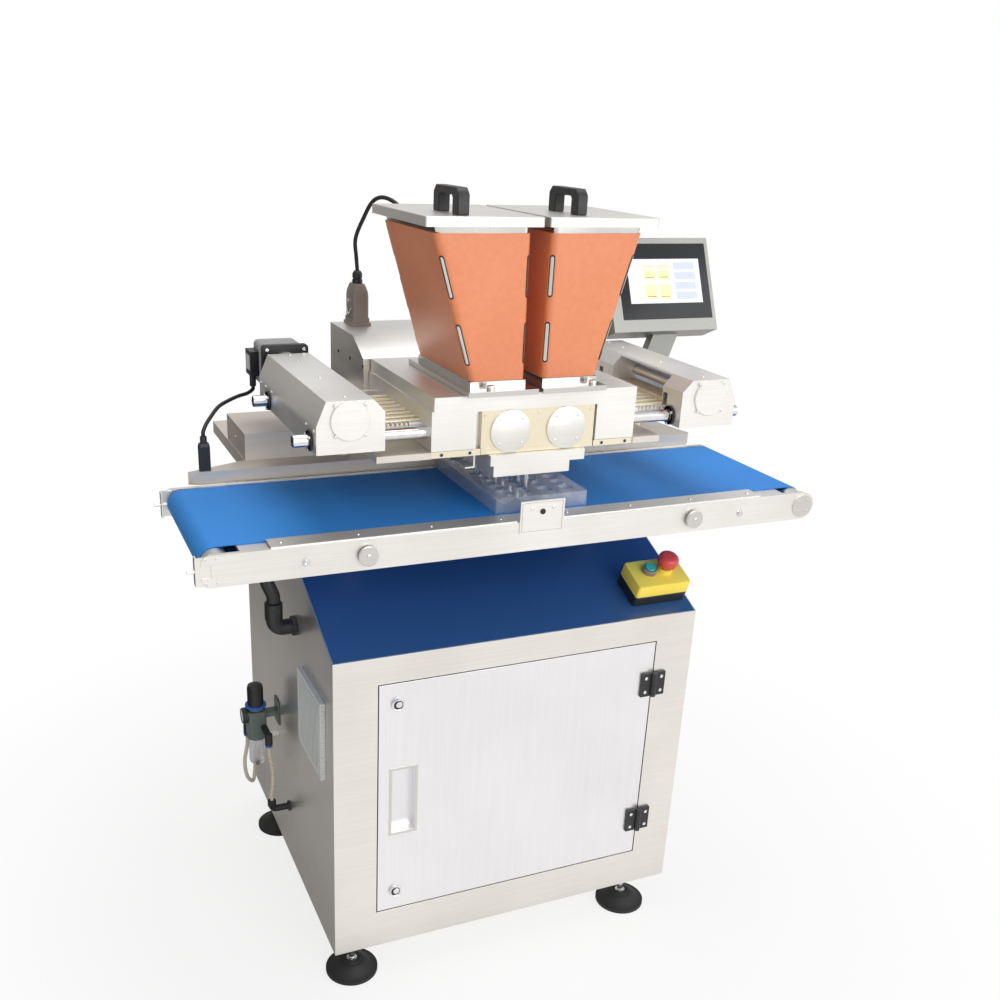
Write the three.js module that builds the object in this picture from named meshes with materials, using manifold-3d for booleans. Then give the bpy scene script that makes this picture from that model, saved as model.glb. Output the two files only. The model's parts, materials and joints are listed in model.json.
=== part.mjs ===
// A servo-driven chocolate depositor on its cabinet: belt conveyor, mould, heated hoppers, piston head.
// Millimetres, z up. While it is built, x runs along the belt from its middle, y runs back from the
// front rail of the conveyor and z stands on the floor. The finished group is moved so that its
// origin lies under the middle of the machine.
import * as THREE from "three";
import { mergeVertices } from "three/addons/utils/BufferGeometryUtils.js";
import Module from "manifold-3d";

const wasm = await Module();
wasm.setup();

// Clearances: between pieces that touch, around pieces that move, past the faces of a cut,
// and the distance at which two vertices are one
const seat = 0.3;
const run = 0.4;
const overrun = 4;
const weld = 1e-3;

// Rounds: sides of a small, a middle and a large circle
const round = { small: 8, middle: 16, large: 24 };

// Cabinet and what hangs on it
const cabinet = {
  left: -355.5,
  right: 371.5,
  front: 51,
  back: 711,
  under: 60,
  frontTop: 678,
  slope: THREE.MathUtils.degToRad(22.9),
  slopeRun: 299,
  deck: 917,
  sheet: 2.5,
};
cabinet.riser = cabinet.front + cabinet.slopeRun;

const vents = { count: 8, width: 120, height: 6, pitch: 14, base: 200 };
const panel = { thick: 3 };

const door = {
  left: -272,
  right: 288,
  bottom: 140.4,
  top: 623.4,
  gap: 2,
  depth: 20,
  sheet: 2,
  returnDepth: 22,
};
const pull = { left: -246, right: -201, bottom: 313, top: 447, depth: 16, wall: 1.5 };
const lock = {
  x: -237.4,
  fromEdge: 41,
  headRadius: 12.5,
  headDepth: 3,
  bodyRadius: 9,
  camLength: 50,
  camTail: 8,
  camThick: 3,
  slotWidth: 3,
  slotDepth: 1.5,
};
const hinge = {
  x: 289,
  height: 50,
  reach: 26,
  leafThick: 5,
  barrelRadius: 6,
  pinRadius: 3,
  fromTop: 89,
  fromBottom: 81,
};
const foot = {
  padRadius: 50,
  padThick: 8,
  domeRadius: 18,
  domeTop: 24,
  stemRadius: 6,
  stemIn: 24,
  nutRadius: 12,
  nutHeight: 10,
  rearInset: 126,
};
const footPlaces = {
  front_left_foot: [-316, 73],
  front_right_foot: [283, 73],
  rear_left_foot: [-330, cabinet.back - foot.rearInset],
  rear_right_foot: [297, cabinet.back - foot.rearInset],
};

// Push-button box, in the frame of the slope: x, up the slope, off the slope
const box = { left: 246, right: 361, low: 32, high: 104, corner: 4, base: 22, top: 50 };
const start = {
  x: 286,
  up: 72,
  bezelRadius: 14,
  bezelHeight: 11,
  buttonRadius: 10.5,
  buttonRise: 2.5,
  stroke: 4,
  wellDepth: 6,
};
const stop = {
  x: 320,
  up: 72,
  collarRadius: 14.5,
  collarHeight: 8,
  stemRadius: 8,
  headRadius: 20,
  headHeight: 23,
  headLift: 6,
  wellDepth: 12,
  shoulderShare: 0.75,
  crownShare: 0.8,
  topShare: 0.5,
  rimShares: [0.25, 0.67, 0.92],
};

// Left wall: vent filter, air regulator, hose and conduit elbows
const filter = { front: 97, back: 252, bottom: 424, top: 580, thick: 10.2, lip: 12, spigot: 8 };
const regulator = {
  x: -402,
  y: 465,
  bodyRadius: 21,
  bodyBottom: 318,
  shoulder: 18,
  neckRadius: 15,
  bowlRadius: 17,
  bowlWaist: 262,
  bowlBottom: 250,
  bowlTipRadius: 8,
  bracketThick: 3,
  bracketBottom: 345,
  bracketAbove: 10,
  bracketWidth: 36,
  armBelow: 14,
  armThick: 10,
  gaugeRadius: 17,
  gaugeHeight: 372,
  gaugeFace: -432,
};
const knob = { ringRadius: 22, ringHeight: 6, radius: 16, crownRadius: 15, height: 51, bevel: 2 };
const outlet = { x: -390, y: 405, portHeight: 348, collarRadius: 8, armRadius: 7, bottom: 325 };
const inlet = { x: -417, y: 488, portHeight: 332, collarRadius: 8, armRadius: 7, bottom: 311 };
regulator.bodyTop =
  Math.max(regulator.gaugeHeight, outlet.portHeight, inlet.portHeight) + regulator.shoulder;
regulator.bracketTop = regulator.bodyTop + regulator.bracketAbove;
regulator.armTop = regulator.bodyTop - regulator.armBelow;
regulator.armBottom = regulator.armTop - regulator.armThick;
knob.top = regulator.bodyTop + knob.height;
const union = { y: 527, z: 278, radius: 8, length: 16 };
const hoseElbow = {
  x: -393.5,
  y: 380.5,
  corner: 188,
  top: 210,
  radius: 7,
  nutRadius: 11,
  nutLength: 6,
  threadRadius: 6,
  threadIn: 12,
};
const conduitElbow = {
  x: -397,
  y: 294,
  corner: 645,
  top: 698,
  radius: 15,
  sleeveRadius: 17,
  sleeveBottom: 660,
  nutRadius: 19,
  nutLength: 8,
  threadRadius: 12,
  threadIn: 14,
};

// Hoses and cables: radius and hand-chosen points
const outletHose = {
  radius: 4,
  steps: 12,
  route: [
    [-390, 405, 324.7],
    [-389.6, 404, 305],
    [-387, 393, 275],
    [-390, 382, 245],
    [-393.5, 380.5, 225],
    [-393.5, 380.5, 210.3],
  ],
};
const supplyHose = {
  radius: 4,
  steps: 20,
  route: [
    [-417, 488, 310.7],
    [-418, 488, 290],
    [-425, 489, 245],
    [-419, 494, 203],
    [-405, 507, 184],
    [-397, 521, 204],
    [-394, 527, 245],
    [-386, 527, 271],
    [-379, 527, 278],
    [-371.8, 527, 278],
  ],
};
const conduit = {
  radius: 13,
  steps: 14,
  route: [
    [-397, 294, 698.3],
    [-397, 294, 710],
    [-406, 299, 735],
    [-413, 312, 765],
    [-412, 337, 810],
    [-404, 366, 853],
    [-395, 380, 893],
    [-395, 380, 911.7],
  ],
};
const heaterCable = {
  radius: 3.75,
  steps: 28,
  route: [
    [-154, 548, 1260.3],
    [-156, 548, 1285],
    [-160, 541, 1318],
    [-150, 520, 1360],
    [-142, 490, 1391],
    [-133, 455, 1400],
    [-118, 415, 1388],
    [-104, 380, 1350],
    [-97, 352, 1305],
    [-95, 331, 1280],
    [-95, 318, 1272.3],
    [-95, 306.3, 1272],
  ],
};
const motorCable = {
  radius: 3.5,
  steps: 20,
  route: [
    [-377, 492, 1057.7],
    [-377, 492, 1053],
    [-389, 484, 1047],
    [-408, 470, 1046],
    [-432, 450, 1043],
    [-455, 428, 1038],
    [-476, 400, 1026],
    [-491, 373, 1017],
    [-497, 361, 1009],
    [-497, 361, 1003.3],
  ],
};

// Conveyor
const rail = {
  left: -572,
  right: 569.5,
  bottom: 866,
  top: 918,
  depth: 345,
  web: 3,
  flange: 8,
  corner: 12,
  slotLength: 15,
  slotHeight: 20,
};
rail.middle = (rail.bottom + rail.top) / 2;
rail.endRadius = (rail.top - rail.bottom) / 2;

const roller = { idler: -545, drive: 542.5, level: 891.7, radius: 23, shaftRadius: 8, shaftGap: 4 };
const bearing = { radius: 14, depth: 12 };
const takeUp = { left: -581, thick: 3, boltRadius: 3, boltLength: 22, tongue: 16 };
const endCover = { radius: 22, thick: 2.5 };
const railKnobs = { places: [-311.6, 299.6], radius: 16, length: 12, neckRadius: 7, neck: 4 };
const strip = { left: -464, right: 447, thick: 2, overFront: 41.6, overRear: 333.5 };
const belt = { front: 42, back: 333, thick: 2 };
const bed = { left: -510, right: 508, thick: 5.7 };
const tie = { places: [-250, 250], halfWidth: 10, bottom: 880, top: 900 };
const stand = { halfWidth: 20, plateBottom: 857, plateTop: 864, front: 240, legFront: 255, legBack: 330 };
const stopPlate = { left: -45.5, right: 37, bottom: 898, top: 955, thick: 2 };

const mould = {
  left: -63.5,
  width: 175,
  front: 57,
  length: 275,
  height: 26.5,
  columns: 4,
  columnPitch: 40,
  rows: 8,
  rowPitch: 31,
  cavityRadius: 12.5,
  cavityWaist: 9.5,
  cavityWaistDepth: 9,
  cavityDepth: 17,
};
mould.middleX = mould.left + mould.width / 2;
mould.middleY = mould.front + mould.length / 2;

// Machine bed: tray, posts, bridge, service box, arm of the touch panel
const tray = {
  top: 941,
  sheet: 3,
  left: -418,
  right: 470,
  front: 350,
  back: 700,
  wing: { tip: -528, tipCorner: -508, tipBack: 358, root: 404 },
  flare: { tip: 524, tipCorner: 512, tipBack: 362, shoulder: 516, root: 390 },
};
const post = { radius: 15, x: 230, front: 400, back: 560 };
const bridge = {
  left: -283,
  right: 239,
  front: 42,
  setBack: 58,
  back: 585,
  bottom: 1027,
  thick: 11,
  openingBack: 330,
};
bridge.top = bridge.bottom + bridge.thick;
const serviceBox = { left: -416, right: -250, front: 400, back: 560, height: 50, sheet: 3 };
const conduitBoss = { x: -395, y: 380, radius: 14, bottom: 912 };
const arm = {
  footLeft: 393,
  footRight: 450,
  headLeft: 452,
  headRight: 492,
  headTop: 1092,
  front: 440,
  back: 490,
  sheet: 3,
  earThick: 6,
  earRadius: 9,
  earNeck: 2,
  pinRadius: 5,
  pinY: 440,
  pinZ: 1112,
};

const screenCase = {
  left: 345,
  width: 248,
  height: 194,
  depth: 55,
  y: 400,
  z: 1150,
  tilt: THREE.MathUtils.degToRad(24),
  lugWidth: 26,
  lugRadius: 9,
  glassLeft: 24,
  glassRight: 8,
  glassAbove: 12,
  glassLow: 25,
  glassDepth: 1.5,
  backMargin: 30,
  backThin: 25,
  wall: 3,
  entryX: -60,
  entryHeight: 60,
  entryRadius: 12,
};

// Skirt under the touch panel's case: it leans with the arm and hides the hinge
const skirt = { left: 437.5, width: 60, lean: 0.34, bottom: 1090, top: 1139.5, front: 427, back: 448 };

// Head
const head = {
  left: -190,
  right: 185,
  front: 44,
  back: 361.7,
  casingTop: 1104,
  plateLeft: -187,
  plateRight: 184,
  plateFront: 42,
  plateTop: 1127,
  recessLeft: -112,
  recessRight: 110,
  recessTop: 1100,
};
const plate = {
  left: -102,
  right: 107,
  front: 46,
  thick: 10,
  footBottom: 1027,
  footTop: 1037.7,
  footFront: 44,
  bottom: 1030,
  coverRadius: 36,
  coverThick: 4,
};
const valve = {
  left: -50,
  right: 53,
  level: 1064,
  radius: 22,
  journalRadius: 10,
  back: 350,
  journalEnd: 402,
  grooveDepth: 7,
  grooveWidth: 14,
  crankLength: 30,
  crankWidth: 16,
  crankThick: 10,
};
const nozzleBlock = {
  left: -88,
  right: 87,
  front: 34,
  neckFront: 60,
  back: 325,
  waist: 1009,
  shoulder: 1026.7,
  lowLeft: -82,
  lowRight: 59,
  bottom: 990,
};
const nozzle = { x: 4, radius: 4.2, tipRadius: 3, tipLength: 8, tip: 945.6 };
const hanger = {
  left: { inner: -88, plate: -104, thick: 3, foot: -122, bottom: 1000 },
  right: { inner: 87, plate: 98, thick: 3, foot: 76, bottom: 1011 },
  front: 62,
  back: 100,
  footThick: 3,
};
const piston = { radius: 4, count: 8, first: 100, pitch: 24, level: 1078, tip: 135 };
const clampBar = { inner: 290, outer: 330, bottom: 1068, top: 1084 };
const guide = { radius: 10, level: 1066, front: 67, rear: 338, end: 412, socket: 40 };
const rack = { end: 349, from: 215, front: 81, rear: 312, width: 12, bottom: 1062 };
const gear = {
  module: 2.5,
  teeth: 20,
  pressure: THREE.MathUtils.degToRad(20),
  backlash: 0.5,
  x: 329,
  level: 1102,
  shaftRadius: 10,
  shaftFront: 36,
  shaftBack: 407.7,
  addendumShare: 1,
  dedendumShare: 1.25,
  tipReliefShare: 1.15,
  rootFlankShare: 0.7,
  roomAround: 1,
};
gear.pitchRadius = (gear.module * gear.teeth) / 2;
gear.tipRadius = gear.pitchRadius + gear.module * gear.addendumShare;
gear.rootRadius = gear.pitchRadius - gear.module * gear.dedendumShare;
gear.pitch = Math.PI * gear.module;
gear.line = gear.level - gear.pitchRadius;

// Beams, given for the right-hand one; the left-hand one mirrors it
const beam = {
  inner: 272,
  outer: 383,
  bottom: 1050,
  shoulder: 1095,
  innerShoulder: 1113,
  roof: 1133,
  roofInner: 291,
  roofOuter: 367,
  front: 33,
  back: 408,
  pocketFront: 96,
  pocketBack: 275,
  wall: 3,
  coverRadius: 32,
  coverThick: 4,
  collarRadius: 16,
  collarLength: 4,
};
const motors = {
  left: { half: 40, back: 520, flangeHalf: 43, neckRadius: 30, chamfer: 8 },
  right: { half: 20, back: 500, flangeHalf: 21, neckRadius: 15, chamfer: 4 },
  neckBack: 428,
  flangeBack: 440,
};
const motorBox = {
  outer: -385,
  front: 472,
  back: 512,
  bottom: 1080,
  top: 1126,
  glandRadius: 6,
  glandEnd: 1058,
};
const plug = { x: -497, y: 361, halfX: 10, halfY: 7, top: 991, neckRadius: 6, neckTop: 1003 };

// Valve drive housing behind the head, and its cable connector
const housing = { left: -200, right: 200, front: 362, sheet: 3, low: 1062, knee: 1126, kneeBack: 368 };
housing.roofFront = 433;
housing.roof = 1158;
housing.back = 578;
const connector = { x: -154, y: 548, baseX: 20, baseY: 28, baseTop: 1172, hoodX: 16, hoodY: 25 };
connector.hoodTop = 1236;
connector.glandRadius = 10;
connector.glandTop = 1260;

// Hoppers with jackets and lids
const hopper = {
  bottom: 1145,
  top: 1398,
  front: 60,
  back: 298,
  wall: 2,
  jacketThick: 3,
  jacketTop: 1375,
  corner: 12,
  baseFront: 27,
  baseBack: 304,
  baseTop: 1136,
  slotHalf: 8,
  slotFront: 90,
  slotBack: 270,
  lipThick: 4,
};
const sides = {
  left: {
    top: [-195, -22.7],
    bottom: [-119, -20],
    base: [-135, -11],
    lid: [-206, -6],
    grip: { left: -146, right: -126.5, front: 71, back: 176 },
    valve: valve.left,
  },
  right: {
    top: [14, 185],
    bottom: [11, 113.5],
    base: [-3, 115],
    lid: [3.5, 202],
    grip: { left: 70, right: 88, front: 90, back: 195 },
    valve: valve.right,
  },
};
const lid = { front: 51, back: 305, top: 1400, sheet: 1.7, flange: 15, play: 1.2 };
const grip = { top: 1440, leg: 25, bar: 12, bevel: 10 };
const gland = { x: -95, z: 1272, radius: 8, end: 306 };

// Finishes: colour, roughness, metalness
const finishes = {
  steel: { color: 0xb9b5ae, roughness: 0.35, metalness: 0.9 },
  chrome: { color: 0xd8dadc, roughness: 0.15, metalness: 1 },
  champagne: { color: 0xd9cfae, roughness: 0.4, metalness: 0.6 },
  black: { color: 0x222326, roughness: 0.6, metalness: 0 },
  grey: { color: 0x6b6e70, roughness: 0.5, metalness: 0.3 },
  lightGrey: { color: 0xb9bcba, roughness: 0.7, metalness: 0 },
  darkBlue: { color: 0x224470, roughness: 0.5, metalness: 0 },
  beltBlue: { color: 0x2e78c8, roughness: 0.6, metalness: 0 },
  orange: { color: 0xe0784a, roughness: 0.6, metalness: 0 },
  yellow: { color: 0xe8c22a, roughness: 0.4, metalness: 0 },
  teal: { color: 0x1f8f86, roughness: 0.4, metalness: 0 },
  red: { color: 0xc8202a, roughness: 0.4, metalness: 0 },
  clear: { color: 0xcfdbe6, roughness: 0.1, metalness: 0 },
  hose: { color: 0xd6cfbf, roughness: 0.4, metalness: 0 },
  rubber: { color: 0x1b1b1d, roughness: 0.8, metalness: 0 },
};

// How a drawing lies before it is pushed along an axis: outlines are (y, z), (x, z) and (x, y)
const drawn = {
  x: new THREE.Matrix4().set(0, 0, 1, 0, 1, 0, 0, 0, 0, 1, 0, 0, 0, 0, 0, 1),
  y: new THREE.Matrix4().set(1, 0, 0, 0, 0, 0, -1, 0, 0, 1, 0, 0, 0, 0, 0, 1),
  z: new THREE.Matrix4(),
};

// A closed geometry as a solid that can be joined and cut
function solid(geometry) {
  const flat = geometry.index ? geometry.toNonIndexed() : geometry;
  const bare = new THREE.BufferGeometry().setAttribute("position", flat.getAttribute("position"));
  const merged = mergeVertices(bare, weld);
  return new wasm.Manifold(
    new wasm.Mesh({
      numProp: 3,
      vertProperties: new Float32Array(merged.getAttribute("position").array),
      triVerts: new Uint32Array(merged.index.array),
    }),
  );
}

const join = (...pieces) => pieces.reduce((whole, piece) => whole.add(piece));
const cut = (whole, ...tools) => tools.reduce((rest, tool) => rest.subtract(tool), whole);

// A span around a middle, and a span mirrored to one side of the machine
const about = (middle, half) => [middle - half, middle + half];
const across = (side, from, to) => (side > 0 ? [from, to] : [-to, -from]);
const mirrored = (points, side) => points.map(([x, z]) => [side * x, z]);
const grown = ([from, to], by) => [from - by, to + by];

// As many results as the count, each made from its number
const counted = (count, at) => Array.from({ length: count }, (_, i) => at(i));

function block([x0, x1], [y0, y1], [z0, z1]) {
  const geometry = new THREE.BoxGeometry(x1 - x0, y1 - y0, z1 - z0);
  return solid(geometry.translate((x0 + x1) / 2, (y0 + y1) / 2, (z0 + z1) / 2));
}

// An outline, as points or a shape, pushed along an axis
function prism(axis, outline, [from, to], arcSteps = round.small / 4) {
  const drawing = (points) => new THREE.Shape(points.map((p) => new THREE.Vector2(...p)));
  const shape = Array.isArray(outline) ? drawing(outline) : outline;
  const options = { depth: to - from, bevelEnabled: false, curveSegments: arcSteps };
  const geometry = new THREE.ExtrudeGeometry(shape, options);
  geometry.translate(0, 0, axis === "y" ? -to : from);
  return solid(geometry.applyMatrix4(drawn[axis]));
}

function disc(radius, [a, b] = [0, 0]) {
  return new THREE.Shape().absarc(a, b, radius, 0, 2 * Math.PI);
}

function rod(axis, radius, span, centre, around = round.middle) {
  return prism(axis, disc(radius, centre), span, around / 2);
}

// A bore along y whose flats still clear a turning shaft of the radius
function boreFor(radius, span, centre, around = round.middle) {
  return rod("y", (radius + run) / Math.cos(Math.PI / around), span, centre, around);
}

// A turned piece about an upright axis: pairs of radius and height, upwards
function turned(profile, [x, y], around = round.middle) {
  const points = profile.map(([radius, height]) => new THREE.Vector2(radius, height));
  const geometry = new THREE.LatheGeometry(points, around);
  return solid(geometry.rotateX(Math.PI / 2).translate(x, y, 0));
}

// A rectangle with round corners, as a shape
function rounded([a0, a1], [b0, b1], radius) {
  const shape = new THREE.Shape();
  shape.absarc(a1 - radius, b0 + radius, radius, -Math.PI / 2, 0);
  shape.absarc(a1 - radius, b1 - radius, radius, 0, Math.PI / 2);
  shape.absarc(a0 + radius, b1 - radius, radius, Math.PI / 2, Math.PI);
  shape.absarc(a0 + radius, b0 + radius, radius, Math.PI, 1.5 * Math.PI);
  return shape;
}

// A skin over level rings of equal counts, counterclockwise and upwards, closed at both ends
function loft(rings) {
  const count = rings[0].length;
  const last = (rings.length - 1) * count;
  const faces = [];
  for (let level = 0; level < last; level += count) {
    for (let i = 0; i < count; i += 1) {
      const a = level + i;
      const b = level + ((i + 1) % count);
      faces.push(a, b, b + count, a, b + count, a + count);
    }
  }
  for (let i = 2; i < count; i += 1) {
    faces.push(0, i, i - 1, last, last + i - 1, last + i);
  }
  const geometry = new THREE.BufferGeometry();
  geometry.setAttribute("position", new THREE.Float32BufferAttribute(rings.flat(2), 3));
  return solid(geometry.setIndex(faces));
}

// The same rounded rectangle at one height, as a ring for a skin
function ring(xs, ys, z, radius) {
  const points = rounded(xs, ys, radius).getPoints(round.small / 4);
  const loop = points.filter((p, i) => i === 0 || p.distanceTo(points[i - 1]) > weld);
  return loop.map((p) => [p.x, p.y, z]);
}

// An outline moved inwards by a wall; the points run counterclockwise
function inset(points, wall) {
  const edges = points.map(([x, y], i) => {
    const [nx, ny] = points[(i + 1) % points.length];
    const length = Math.hypot(nx - x, ny - y);
    return { x, y, dx: (nx - x) / length, dy: (ny - y) / length };
  });
  return edges.map((edge, i) => {
    const before = edges[(i + edges.length - 1) % edges.length];
    const turn = before.dx * edge.dy - before.dy * edge.dx;
    const reach = (wall * (1 - before.dx * edge.dx - before.dy * edge.dy)) / turn;
    return [edge.x - before.dy * wall - before.dx * reach, edge.y + before.dx * wall - before.dy * reach];
  });
}

function tube({ route, radius, steps }) {
  const path = new THREE.CatmullRomCurve3(route.map((p) => new THREE.Vector3(...p)));
  const options = { steps, extrudePath: path, curveSegments: round.small / 2 };
  return solid(new THREE.ExtrudeGeometry(disc(radius), options));
}

function mesh(name, body, finish) {
  const { vertProperties, triVerts } = body.getMesh();
  const geometry = new THREE.BufferGeometry();
  geometry.setAttribute("position", new THREE.BufferAttribute(vertProperties, 3));
  geometry.setIndex(new THREE.BufferAttribute(triVerts, 1));
  const material = new THREE.MeshStandardMaterial({ ...finishes[finish], flatShading: true });
  const made = new THREE.Mesh(geometry, material);
  made.name = name;
  return made;
}

// Height of a plane parallel to the slope, off it by a distance, and a point in the slope's frame
const slopeAt = (y, off = 0) =>
  cabinet.frontTop + Math.tan(cabinet.slope) * (y - cabinet.front) + off / Math.cos(cabinet.slope);
const slopePoint = (up, off) => [
  cabinet.front + up * Math.cos(cabinet.slope) - off * Math.sin(cabinet.slope),
  cabinet.frontTop + up * Math.sin(cabinet.slope) + off * Math.cos(cabinet.slope),
];

// Cabinet shell: folded sheet with a door opening, a bed for the blue panel and holes for what it carries
function cabinetShell() {
  const { left, right, front, back, under, frontTop, riser, deck, sheet } = cabinet;
  const panelBed = -panel.thick - seat;
  const roof = panelBed - sheet;
  const outside = [
    [front, under],
    [back, under],
    [back, deck],
    [riser, deck],
    [riser, slopeAt(riser)],
    [front, frontTop],
  ];
  const inside = [
    [front + sheet, under + sheet],
    [back - sheet, under + sheet],
    [back - sheet, deck - sheet],
    [riser + sheet, deck - sheet],
    [riser + sheet, slopeAt(riser + sheet, roof)],
    [front + sheet, slopeAt(front + sheet, roof)],
  ];
  const panelRecess = [
    slopePoint(sheet, panelBed),
    [riser, slopeAt(riser, panelBed)],
    [riser, slopeAt(riser) + overrun],
    slopePoint(sheet, overrun),
  ];
  const between = [left + sheet, right - sheet];
  const ventX = about((left + right) / 2, vents.width / 2);
  const ventY = grown([back - sheet, back], overrun);
  const openX = grown([door.left, door.right], door.gap);
  const openZ = grown([door.bottom, door.top], door.gap);
  const returned = [front, front + door.returnDepth];
  const wallCut = [left - overrun, left + sheet + overrun];
  const filterY = [filter.front + filter.lip, filter.back - filter.lip];
  const filterZ = [filter.bottom + filter.lip, filter.top - filter.lip];
  const body = join(
    cut(prism("x", outside, [left, right]), prism("x", inside, between), prism("x", panelRecess, between)),
    block(grown(openX, sheet), returned, grown(openZ, sheet)),
    rod("x", union.radius, [left - union.length, left + sheet], [union.y, union.z], round.small),
  );
  return cut(
    body,
    block(openX, grown(returned, overrun), openZ),
    block(wallCut, filterY, filterZ),
    rod("x", hoseElbow.threadRadius + seat, wallCut, [hoseElbow.y, hoseElbow.corner], round.small),
    rod("x", conduitElbow.threadRadius + seat, wallCut, [conduitElbow.y, conduitElbow.corner]),
    ...Object.values(footPlaces).map((place) =>
      rod("z", foot.stemRadius + run, grown([under, under + sheet], overrun), place),
    ),
    ...counted(vents.count, (i) => vents.base + i * vents.pitch).map((z) =>
      block(ventX, ventY, [z, z + vents.height]),
    ),
  );
}

// Blue panel in the bed of the slope, in the slope's frame
function topPanel() {
  const { left, right, sheet, slope, slopeRun } = cabinet;
  const upperEnd = slopeRun / Math.cos(slope) - panel.thick * Math.tan(slope) - seat;
  return block([left + sheet + seat, right - sheet - seat], [sheet + seat, upperEnd], [-panel.thick, 0]);
}

// Door: a sheet pan with a recessed pull and two lock holes
function cabinetDoor() {
  const { front } = cabinet;
  const { left, right, bottom, top, depth, sheet } = door;
  const pullX = [pull.left, pull.right];
  const pullZ = [pull.bottom, pull.top];
  const hollowY = [front + sheet, front + depth + overrun];
  const linerY = [front, front + pull.depth + pull.wall];
  const lockY = grown([front, front + sheet], overrun);
  const pan = cut(
    block([left, right], [front, front + depth], [bottom, top]),
    block([left + sheet, right - sheet], hollowY, [bottom + sheet, top - sheet]),
  );
  return cut(
    join(pan, block(grown(pullX, pull.wall), linerY, grown(pullZ, pull.wall))),
    block(pullX, [front - overrun, front + pull.depth], pullZ),
    ...lockHeights().map((z) => rod("y", lock.bodyRadius + run, lockY, [lock.x, z])),
  );
}

const lockHeights = () => [door.top - lock.fromEdge, door.bottom + lock.fromEdge];

// Quarter-turn lock: slotted head, body through the door, cam that hangs free of the frame
function quarterTurn(z, camWay) {
  const { front } = cabinet;
  const headFront = front - seat - lock.headDepth;
  const camFront = front + door.returnDepth + seat + seat;
  const camReach = lock.camLength - lock.camTail;
  const camZ = [z - camWay * lock.camTail, z + camWay * camReach].sort((a, b) => a - b);
  return cut(
    join(
      rod("y", lock.headRadius, [headFront, front - seat], [lock.x, z]),
      rod("y", lock.bodyRadius, [front - seat, camFront + lock.camThick], [lock.x, z]),
      block(about(lock.x, lock.camTail), [camFront, camFront + lock.camThick], camZ),
    ),
    block(
      about(lock.x, lock.headRadius / 2),
      [headFront - overrun, headFront + lock.slotDepth],
      about(z, lock.slotWidth / 2),
    ),
  );
}

// Hinge: the frame leaf holds the pin and the lower knuckle, the door leaf turns on it
const hingePin = () => [hinge.x, cabinet.front - seat - hinge.barrelRadius];
const hingeHeights = () => [door.top - hinge.fromTop, door.bottom + hinge.fromBottom];

function hingeLeaf(z, side, knuckle) {
  const leafBack = cabinet.front - seat;
  const leafY = [leafBack - hinge.leafThick, leafBack];
  const near = hinge.barrelRadius + run;
  const span = about(z, hinge.height / 2);
  const plateX = side > 0 ? [hinge.x + near, hinge.x + hinge.reach] : [hinge.x - hinge.reach, hinge.x - near];
  const bridgeX = side > 0 ? [hinge.x, hinge.x + near] : [hinge.x - near, hinge.x];
  return join(
    block(plateX, leafY, span),
    block(bridgeX, leafY, knuckle),
    rod("z", hinge.barrelRadius, knuckle, hingePin()),
  );
}

function hingeFrameLeaf(z) {
  const knuckle = [z - hinge.height / 2, z - seat / 2];
  const pin = rod("z", hinge.pinRadius, [knuckle[0], z + hinge.height / 2], hingePin(), round.small);
  return join(hingeLeaf(z, 1, knuckle), pin);
}

function hingeDoorLeaf(z) {
  const knuckle = [z + seat / 2, z + hinge.height / 2];
  const bore = rod("z", hinge.pinRadius + run, grown(knuckle, overrun), hingePin(), round.small);
  return cut(hingeLeaf(z, -1, knuckle), bore);
}

// Levelling foot: rubber pad, threaded stem and the nut that carries the cabinet floor
function levellingFoot(place) {
  const nutTop = cabinet.under - seat;
  const profile = [
    [0, 0],
    [foot.padRadius, 0],
    [foot.padRadius, foot.padThick],
    [foot.domeRadius, foot.domeTop],
    [foot.stemRadius, foot.domeTop],
    [foot.stemRadius, nutTop - foot.nutHeight],
    [foot.nutRadius, nutTop - foot.nutHeight],
    [foot.nutRadius, nutTop],
    [foot.stemRadius, nutTop],
    [foot.stemRadius, nutTop + foot.stemIn],
    [0, nutTop + foot.stemIn],
  ];
  return turned(profile, place);
}

// Push-button box on the slope, with a bezel for the start button and a collar for the stop button
function controlBox() {
  const xs = [box.left, box.right];
  const ups = [box.low, box.high];
  const startAt = [start.x, start.up];
  const stopAt = [stop.x, stop.up];
  const startWell = [box.top - start.wellDepth, box.top + start.bezelHeight + overrun];
  const stopWell = [box.top - stop.wellDepth, box.top + stop.collarHeight + overrun];
  return cut(
    join(
      prism("z", rounded(xs, ups, box.corner), [seat, box.base]),
      prism("z", rounded(grown(xs, -seat), grown(ups, -seat), box.corner), [box.base, box.top]),
      rod("z", start.bezelRadius, [box.top, box.top + start.bezelHeight], startAt),
      rod("z", stop.collarRadius, [box.top, box.top + stop.collarHeight], stopAt),
    ),
    rod("z", start.buttonRadius + run, startWell, startAt),
    rod("z", stop.stemRadius + run, stopWell, stopAt),
  );
}

function startButton() {
  const top = box.top + start.bezelHeight + start.buttonRise;
  const bottom = box.top - start.wellDepth + start.stroke + seat + seat;
  return rod("z", start.buttonRadius, [bottom, top], [start.x, start.up]);
}

function stopButton() {
  const under = box.top + stop.collarHeight + stop.headLift;
  const top = under + stop.headHeight;
  const stemEnd = under - stop.collarHeight - stop.headLift - stop.headLift;
  const [rimLow, rimHigh, crown] = stop.rimShares.map((share) => under + stop.headHeight * share);
  const profile = [
    [0, stemEnd],
    [stop.stemRadius, stemEnd],
    [stop.stemRadius, under],
    [stop.headRadius * stop.shoulderShare, under],
    [stop.headRadius, rimLow],
    [stop.headRadius, rimHigh],
    [stop.headRadius * stop.crownShare, crown],
    [stop.headRadius * stop.topShare, top],
    [0, top],
  ];
  return turned(profile, [stop.x, stop.up]);
}

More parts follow.
